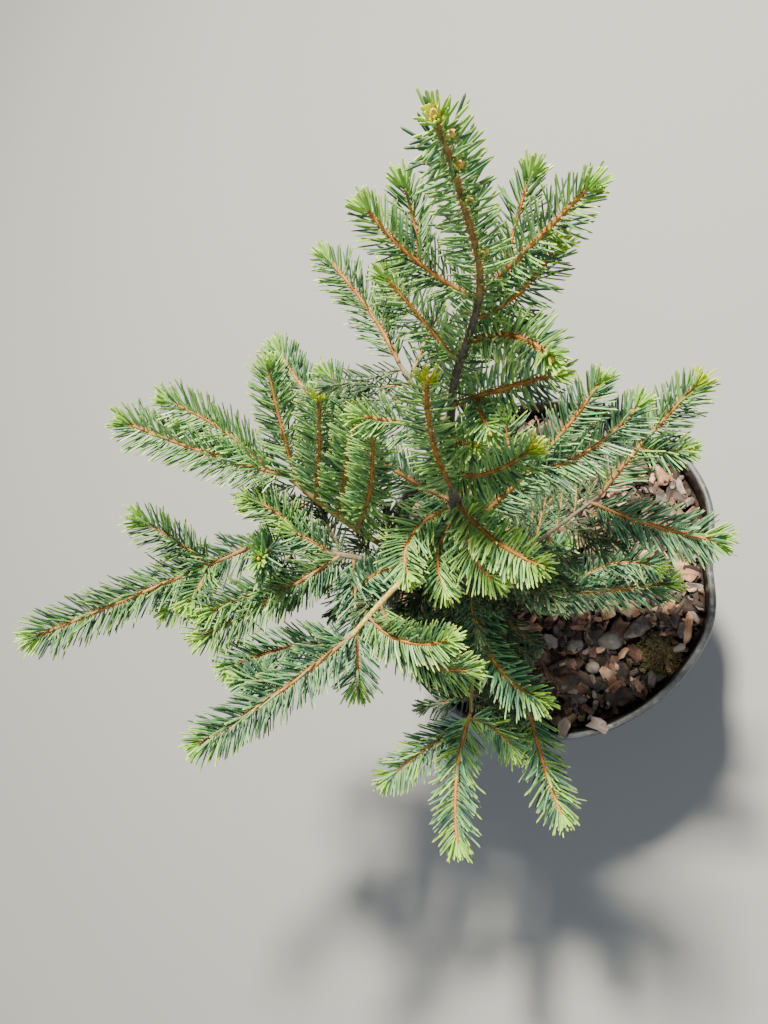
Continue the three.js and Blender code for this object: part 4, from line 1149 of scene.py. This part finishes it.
# %% [markdown]
# ## Needles
# A needle is a stiff four-sided blade 12 to 17 mm long and nearly a millimetre and a half wide, waxy
# and blue-green, with a sharp tip, bent slightly towards the shoot's tip. Over eighteen thousand of
# them are one function: three small rings and a point each, two dozen triangles. They are dealt by
# spray, by age and by painted light and shade into a few finishes, so that no mesh is too large.

# %% One mesh function for all needles
NEEDLE_HALF_WIDTH = 0.72
NEEDLE_RINGS = np.array([0.0, 0.32, 0.93])
NEEDLE_PROFILE = np.array([0.66, 1.0, 0.80])
NEEDLE_SIDES = 4
NEEDLE_POINTS = NEEDLE_SIDES * len(NEEDLE_RINGS) + 2


def needle_mesh(name, pick, seed):
    """Foot + length x (way x t + bend x t squared), in three rings that follow the profile, and a point."""
    t = np.append(NEEDLE_RINGS, 1.0)[None, :, None]
    foot, way, bend = needle_foot[pick][:, None], needle_way[pick][:, None], needle_bend[pick][:, None]
    line = foot + needle_length[pick][:, None, None] * (way * t + bend * t * t)
    side = unit(np.cross(needle_way[pick], needle_out[pick] + 1e-3))
    top = np.cross(side, needle_way[pick])
    axes = (np.repeat(axis[:, None], len(NEEDLE_RINGS), 1) for axis in (side, top))
    width = NEEDLE_HALF_WIDTH * NEEDLE_PROFILE[None] * needle_width[pick][:, None]
    ends = line[:, [0, -1]]
    points, quads, triangles = tubes(line[:, :-1], width, NEEDLE_SIDES, *axes, ends, flat=0.8)
    chance = np.random.default_rng(seed).uniform(0.02, 0.98, len(points) // NEEDLE_POINTS)
    along_needle = np.append(np.repeat(NEEDLE_RINGS, NEEDLE_SIDES), [0.0, 1.0])
    surface = np.stack([np.repeat(chance, NEEDLE_POINTS), np.tile(along_needle, len(chance))], -1)
    return put_mesh(name, points, quads, triangles, uv=surface, smooth=False)


# %% Rosettes of short needles round the buds, added to the needles along the stems
ROSETTE = 15
needle_width = needle_rng.normal(1, 0.08, len(stem)) * (1 - CROWN_LESS * in_crown)
rosette_stem = np.repeat(np.arange(len(stem_lines)), ROSETTE)
rosette_turn = np.tile(np.arange(ROSETTE), len(stem_lines)) * GOLDEN
rosette_turn = rosette_turn + needle_rng.normal(0, 0.2, len(rosette_stem))
rosette_ahead = stem_forward[rosette_stem, -1]
rosette_out = (stem_up[rosette_stem, -1] * np.cos(rosette_turn)[:, None]
               + stem_right[rosette_stem, -1] * np.sin(rosette_turn)[:, None])
rosette_lean = np.radians(needle_rng.uniform(8, 50, len(rosette_stem)))
rosette_way = unit(rosette_out * np.sin(rosette_lean)[:, None]
                   + rosette_ahead * np.cos(rosette_lean)[:, None])
rosette_foot = stem_lines[rosette_stem, -1] - rosette_ahead * 1.5 + rosette_out * 0.8
rosette_size = np.where((stem_order == SPUR) | is_leader, 0.5, 1.0)[rosette_stem]
no_rosette = np.zeros(len(rosette_stem))
needle_foot = np.concatenate([needle_foot, rosette_foot])
needle_way = np.concatenate([needle_way, rosette_way])
needle_out = np.concatenate([out, rosette_out])
needle_bend = np.concatenate([needle_bend, rosette_ahead * 0.12])
needle_length = np.append(needle_length, rosette_size * needle_rng.uniform(6.5, 9.5, len(rosette_stem)))
needle_width = np.append(needle_width, needle_rng.normal(0.95, 0.06, len(rosette_stem)))
needle_stem = np.append(stem, rosette_stem)
needle_below = np.append(below, no_rosette)
needle_to_tip = np.append(to_tip, no_rosette)
needle_kept = np.append(kept, no_rosette == 0)

# %% [markdown]
# The sprays differ in tone. Partly that is their own colour, and partly it is painted light: sprays that
# stood in open sun are dealt paler and warmer tones and extra yellow-green needles, those in shade low in
# the crown bluer tones, and needles on each spray's shaded underside a dark green of painted shade, more
# of them on sprays that stood in shade. The newest needles at the tips are yellow-green, and the tips of a
# few sprays are clear yellow. Each spray is dealt one plain tone, and one needle in seven or so takes the
# middle tone, so that no spray is all of one colour.

# %% Which tone each spray takes
YELLOW_TIPS = ["spray_upright", "spray_left_fan_b", "spray_right", "spray_inner_fan", "spray_crown_low",
               "spray_leader"]
# Sprays that stood in sun: some of their needles also take the young yellow-green, as painted sunlight.
SUNNY = ["spray_centre_front", "spray_right_high", "spray_crown_low", "spray_front", "spray_front_right"]
# Sprays that stood in shade: more of their needles are painted in shade.
SHADY = ["spray_left_front", "spray_left_mid", "spray_left_under", "spray_left", "spray_right",
         "spray_right_mid", "spray_right_tip", "spray_right_under", "spray_right_high"]
# A warmer yellow-green tone: partly the sprays' own tone, partly painted light for sprays that stood in sun.
WARM = ["spray_left_fan_b", "spray_upper_left", "spray_upper_inner", "spray_crown_left", "spray_crown_right",
        "spray_left", "spray_left_inner_a", "spray_left_mid", "spray_right", "spray_inner_left",
        "spray_front_inner_a", "spray_front_inner_b", "spray_leader"]
# A bluer tone: partly the sprays' own tone, partly painted shade for sprays low and in shade.
COOL = ["spray_front", "spray_front_right", "spray_front_star", "spray_right_tip", "spray_right_under",
        "spray_left_under", "spray_back_right_low", "spray_left_low"]
# Sprays that stood in sun but fall in the lamp's shade here: a paler, warmer tone as painted light.
PAINTED_SUNLIT_SPRAYS = ["spray_centre_front", "spray_crown_front", "spray_inner_turned", "spray_left_fan_c",
        "spray_left_fan_d", "spray_left_high", "spray_left_fan_a", "spray_upright", "spray_inner_fan",
        "spray_inner_right", "spray_centre_low"]
MIDDLE_TONE, WARM_TONE, COOL_TONE, PAINTED_SUNLIT_TONE = range(4)
tone_of_mass = np.select([np.isin(NAMES, group) for group in (WARM, COOL, PAINTED_SUNLIT_SPRAYS)],
                         [WARM_TONE, COOL_TONE, PAINTED_SUNLIT_TONE], MIDDLE_TONE)
# Base chance of a needle taking the painted-shade finish: high on shaded sprays, low on painted-sunlit ones.
deep_share = np.select([np.isin(NAMES, SHADY), np.isin(NAMES, PAINTED_SUNLIT_SPRAYS)], [0.30, 0.02], 0.06)

# %% Which needles are young or painted sunlit, bright, weak, painted in shade or of their spray's tone
deal = np.random.default_rng(90)
needle_mass, needle_order = stem_mass[needle_stem], stem_order[needle_stem]
young_part = (2.5 + 15 * deal.uniform(0, 1, len(needle_mass)) ** 3) * np.where(needle_order == TWIG, 0.5, 1)
young_or_painted_sun = needle_to_tip < young_part
# Painted sunlight: extra yellow-green needles on the sunny sprays.
young_or_painted_sun |= np.isin(NAMES, SUNNY)[needle_mass] & (deal.uniform(0, 1, len(needle_mass)) < 0.3)
young_or_painted_sun &= needle_order < WEAK
tone = np.where(deal.uniform(0, 1, len(needle_mass)) < 0.15, MIDDLE_TONE, tone_of_mass[needle_mass])
# Needles on the underside, away from the light, are far more often painted in shade.
shaded_share = deep_share[needle_mass] + 3.0 * np.clip(needle_below - 0.12, 0, 0.28)
shaded = deal.uniform(0, 1, len(needle_mass)) < shaded_share
weak = needle_order == WEAK
shaded &= ~weak & (needle_to_tip > 9)
bright_part = np.where(needle_stem == LEADER, 0.1, 3.5)
yellow = np.isin(NAMES, YELLOW_TIPS)[needle_mass] & (needle_order != TWIG)
bright = young_or_painted_sun & yellow & (needle_to_tip < bright_part)
young_or_painted_sun &= ~bright
tip_end = needle_foot + needle_way * needle_length[:, None]
in_the_wall = (np.hypot(tip_end[:, 0], tip_end[:, 1]) > RIM_RADIUS - 14) & (tip_end[:, 2] < POT_HEIGHT + 3)
clear_of_pot = needle_kept & (tip_end[:, 2] > SOIL_HEIGHT + 5) & ~in_the_wall
plain = ~(young_or_painted_sun | bright | weak | shaded)
groups = {
    "needles_young_and_painted_sunlit": young_or_painted_sun,
    "needles_bright": bright,
    "needles_of_weak_twigs": weak,
    "needles_blue_green": plain & (tone == MIDDLE_TONE),
    "needles_grey_green": plain & (tone == WARM_TONE),
    "needles_bluish": plain & (tone == COOL_TONE),
    "needles_painted_sunlit": plain & (tone == PAINTED_SUNLIT_TONE),
    "needles_painted_shade": ~(young_or_painted_sun | bright | weak) & shaded,
}
groups = {name: clear_of_pot & pick for name, pick in groups.items()}
print({name: int(pick.sum()) for name, pick in groups.items()})
print("needles in all:", sum(int(pick.sum()) for pick in groups.values()))

# %% [markdown]
# The colour of a spruce needle is a dark green blade under lines of white wax. Seen from afar the two
# add up to blue-green. The finish mixes them by the needle's own chance value and along its length:
# paler at the foot, full in the middle and yellower at the tip. The wax also makes the gloss soft.

# %% Waxy needle finishes
def waxy_needles(name, blade, wax, tip, roughness):
    """Blade to wax colour by the needle's chance and a slow noise, paler foot, then the tip's colour."""
    material, tree, shader = new_material(name)
    surface = add(tree, "ShaderNodeUVMap", uv_map="surface").outputs["UV"]
    parts = add(tree, "ShaderNodeSeparateXYZ", {"Vector": surface})
    bloom = grains(tree, (7, 2.0))[1]
    by_chance = add(tree, "ShaderNodeMapRange", {"Value": parts.outputs["X"], "To Max": 0.75})
    by_bloom = add(tree, "ShaderNodeMapRange", {
        "Value": bloom, "From Min": 0.35, "From Max": 0.65, "To Max": 0.3})
    amount = add(tree, "ShaderNodeMath", {
        0: by_chance.outputs["Result"], 1: by_bloom.outputs["Result"]}, operation="ADD").outputs[0]
    coloured = laid_over(tree, blade, wax, amount)
    coloured = laid_over(tree, coloured, "#b7c07c", parts.outputs["Y"], 0.0, 0.22, 0.45, 0.0)
    coloured = laid_over(tree, coloured, tip, parts.outputs["Y"], 0.78, 1.0, 0.0, 0.6)
    tree.links.new(coloured, shader.inputs["Base Color"])
    shader.inputs["Roughness"].default_value = roughness
    shader.inputs["Specular IOR Level"].default_value = 0.24
    return material


finishes = {
    # Young growth, and also the painted sunlight on the sunny sprays.
    "needles_young_and_painted_sunlit": waxy_needles("fresh_or_painted_sunlit_needles", "#78aa48", "#aed860", "#d6ee78", 0.45),
    "needles_bright": waxy_needles("new_yellow_needles", "#a6bc18", "#cfdf3a", "#e8ee60", 0.45),
    "needles_blue_green": waxy_needles("waxy_blue_green_needles", "#2b503e", "#88be7e", "#cae97e", 0.34),
    "needles_grey_green": waxy_needles("waxy_grey_green_needles", "#2e5438", "#92c26e", "#d4ec74", 0.34),
    "needles_bluish": waxy_needles("waxy_bluish_needles", "#305e4c", "#8cc48e", "#c8ea88", 0.34),
    # Painted light: the paler tone of the sprays painted sunlit.
    "needles_painted_sunlit": waxy_needles("waxy_green_needles_painted_sunlit", "#3f6e46", "#9ccc70", "#d6ee74", 0.34),
    # Dark olive for the weak twigs in the crown's heart: partly their own older colour, partly painted shade.
    "needles_of_weak_twigs": waxy_needles("weak_olive_green_needles", "#2c4434", "#5c7654", "#8ea26e", 0.45),
    # Dark green of painted shade, for needles under the sprays and on sprays that stood in shade.
    "needles_painted_shade": waxy_needles("deep_green_needles_painted_shade", "#284238", "#4e7058", "#84a074", 0.45),
}
for seed, (name, pick) in enumerate(groups.items()):
    dress(needle_mesh(name, pick, 300 + seed), finishes[name], "foliage", *NAMES)

# %% [markdown]
# ## Buds
# Each shoot ends in a resting bud under thin golden-brown scales. The leader's tip, the short spurs
# along it and the strongest shoots carry a cluster of them. A bud is a drop turned round its axis, with
# three rows of scales drawn as steps in its radius.

# %% Buds at the tips
BUD_SHARE = np.array([0.0, 0.12, 0.3, 0.32, 0.52, 0.54, 0.74, 0.76, 0.92])
BUD_RADIUS = np.array([0.55, 0.86, 1.0, 0.93, 0.9, 0.8, 0.66, 0.54, 0.26])
BUD_SIDES, BUD_GIRTH, END_BUD, SIDE_BUD, LEADER_SHARE = 8, 0.33, 3.9, 3.0, 0.98
bud_rng = np.random.default_rng(23)
cluster = np.select([is_leader, stem_length > 80, stem_order == SPUR], [13, 3, 9], 1)
bud_stem = np.repeat(np.arange(len(stem_lines)), cluster)
rank = np.concatenate([np.arange(c) for c in cluster])
beside_the_end = rank > 0
bud_turn = rank * GOLDEN + bud_rng.uniform(0, 6.28, len(stem_lines))[bud_stem]
bud_ahead = stem_forward[bud_stem, -1]
bud_out = (stem_up[bud_stem, -1] * np.cos(bud_turn)[:, None]
           + stem_right[bud_stem, -1] * np.sin(bud_turn)[:, None])
bud_way = unit(bud_ahead + bud_out * np.where(beside_the_end, 0.9, 0.05)[:, None])
bud_size = np.where(beside_the_end, SIDE_BUD, END_BUD) * np.where(bud_stem == LEADER, LEADER_SHARE, 1.0)
bud_foot = stem_lines[bud_stem, -1] - bud_ahead * np.where(beside_the_end, 1.2, 0.0)[:, None]
bud_line = bud_foot[:, None] + bud_way[:, None] * (bud_size[:, None] * BUD_SHARE[None])[..., None]
bud_side = unit(np.cross(bud_way, bud_out + 0.01))
bud_up = np.cross(bud_side, bud_way)
bud_axes = (np.repeat(axis[:, None], len(BUD_SHARE), 1) for axis in (bud_side, bud_up))
bud_ends = np.stack([bud_foot, bud_foot + bud_way * bud_size[:, None]], 1)
bud_radius = BUD_GIRTH * bud_size[:, None] * BUD_RADIUS[None]
buds = put_mesh("winter_buds", *tubes(bud_line, bud_radius, BUD_SIDES, *bud_axes, bud_ends))
print("buds:", len(rank))

# %% Resin on the bud scales
bud_scales, tree, shader = new_material("resinous_bud_scales")
_, mottle = grains(tree, (1.6, 3.0))
tree.links.new(laid_over(tree, "#bd8a2c", "#f0cc58", mottle, 0.4, 0.62), shader.inputs["Base Color"])
shader.inputs["Roughness"].default_value = 0.38
dress(buds, bud_scales, "foliage")

# %% [markdown]
# ## Sizes and the end
# The box of the solids is printed at the start. Here the growth of the dressed plant's box over it is
# printed, so that one can see how little dressing the plant changes its size.

# %% Print how much the box grows
visual_box = [list(corner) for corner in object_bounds()]
growth = np.array(visual_box) - np.array(cad_box)
print("box grows by, mm:", np.round(growth * 1000, 1).tolist())
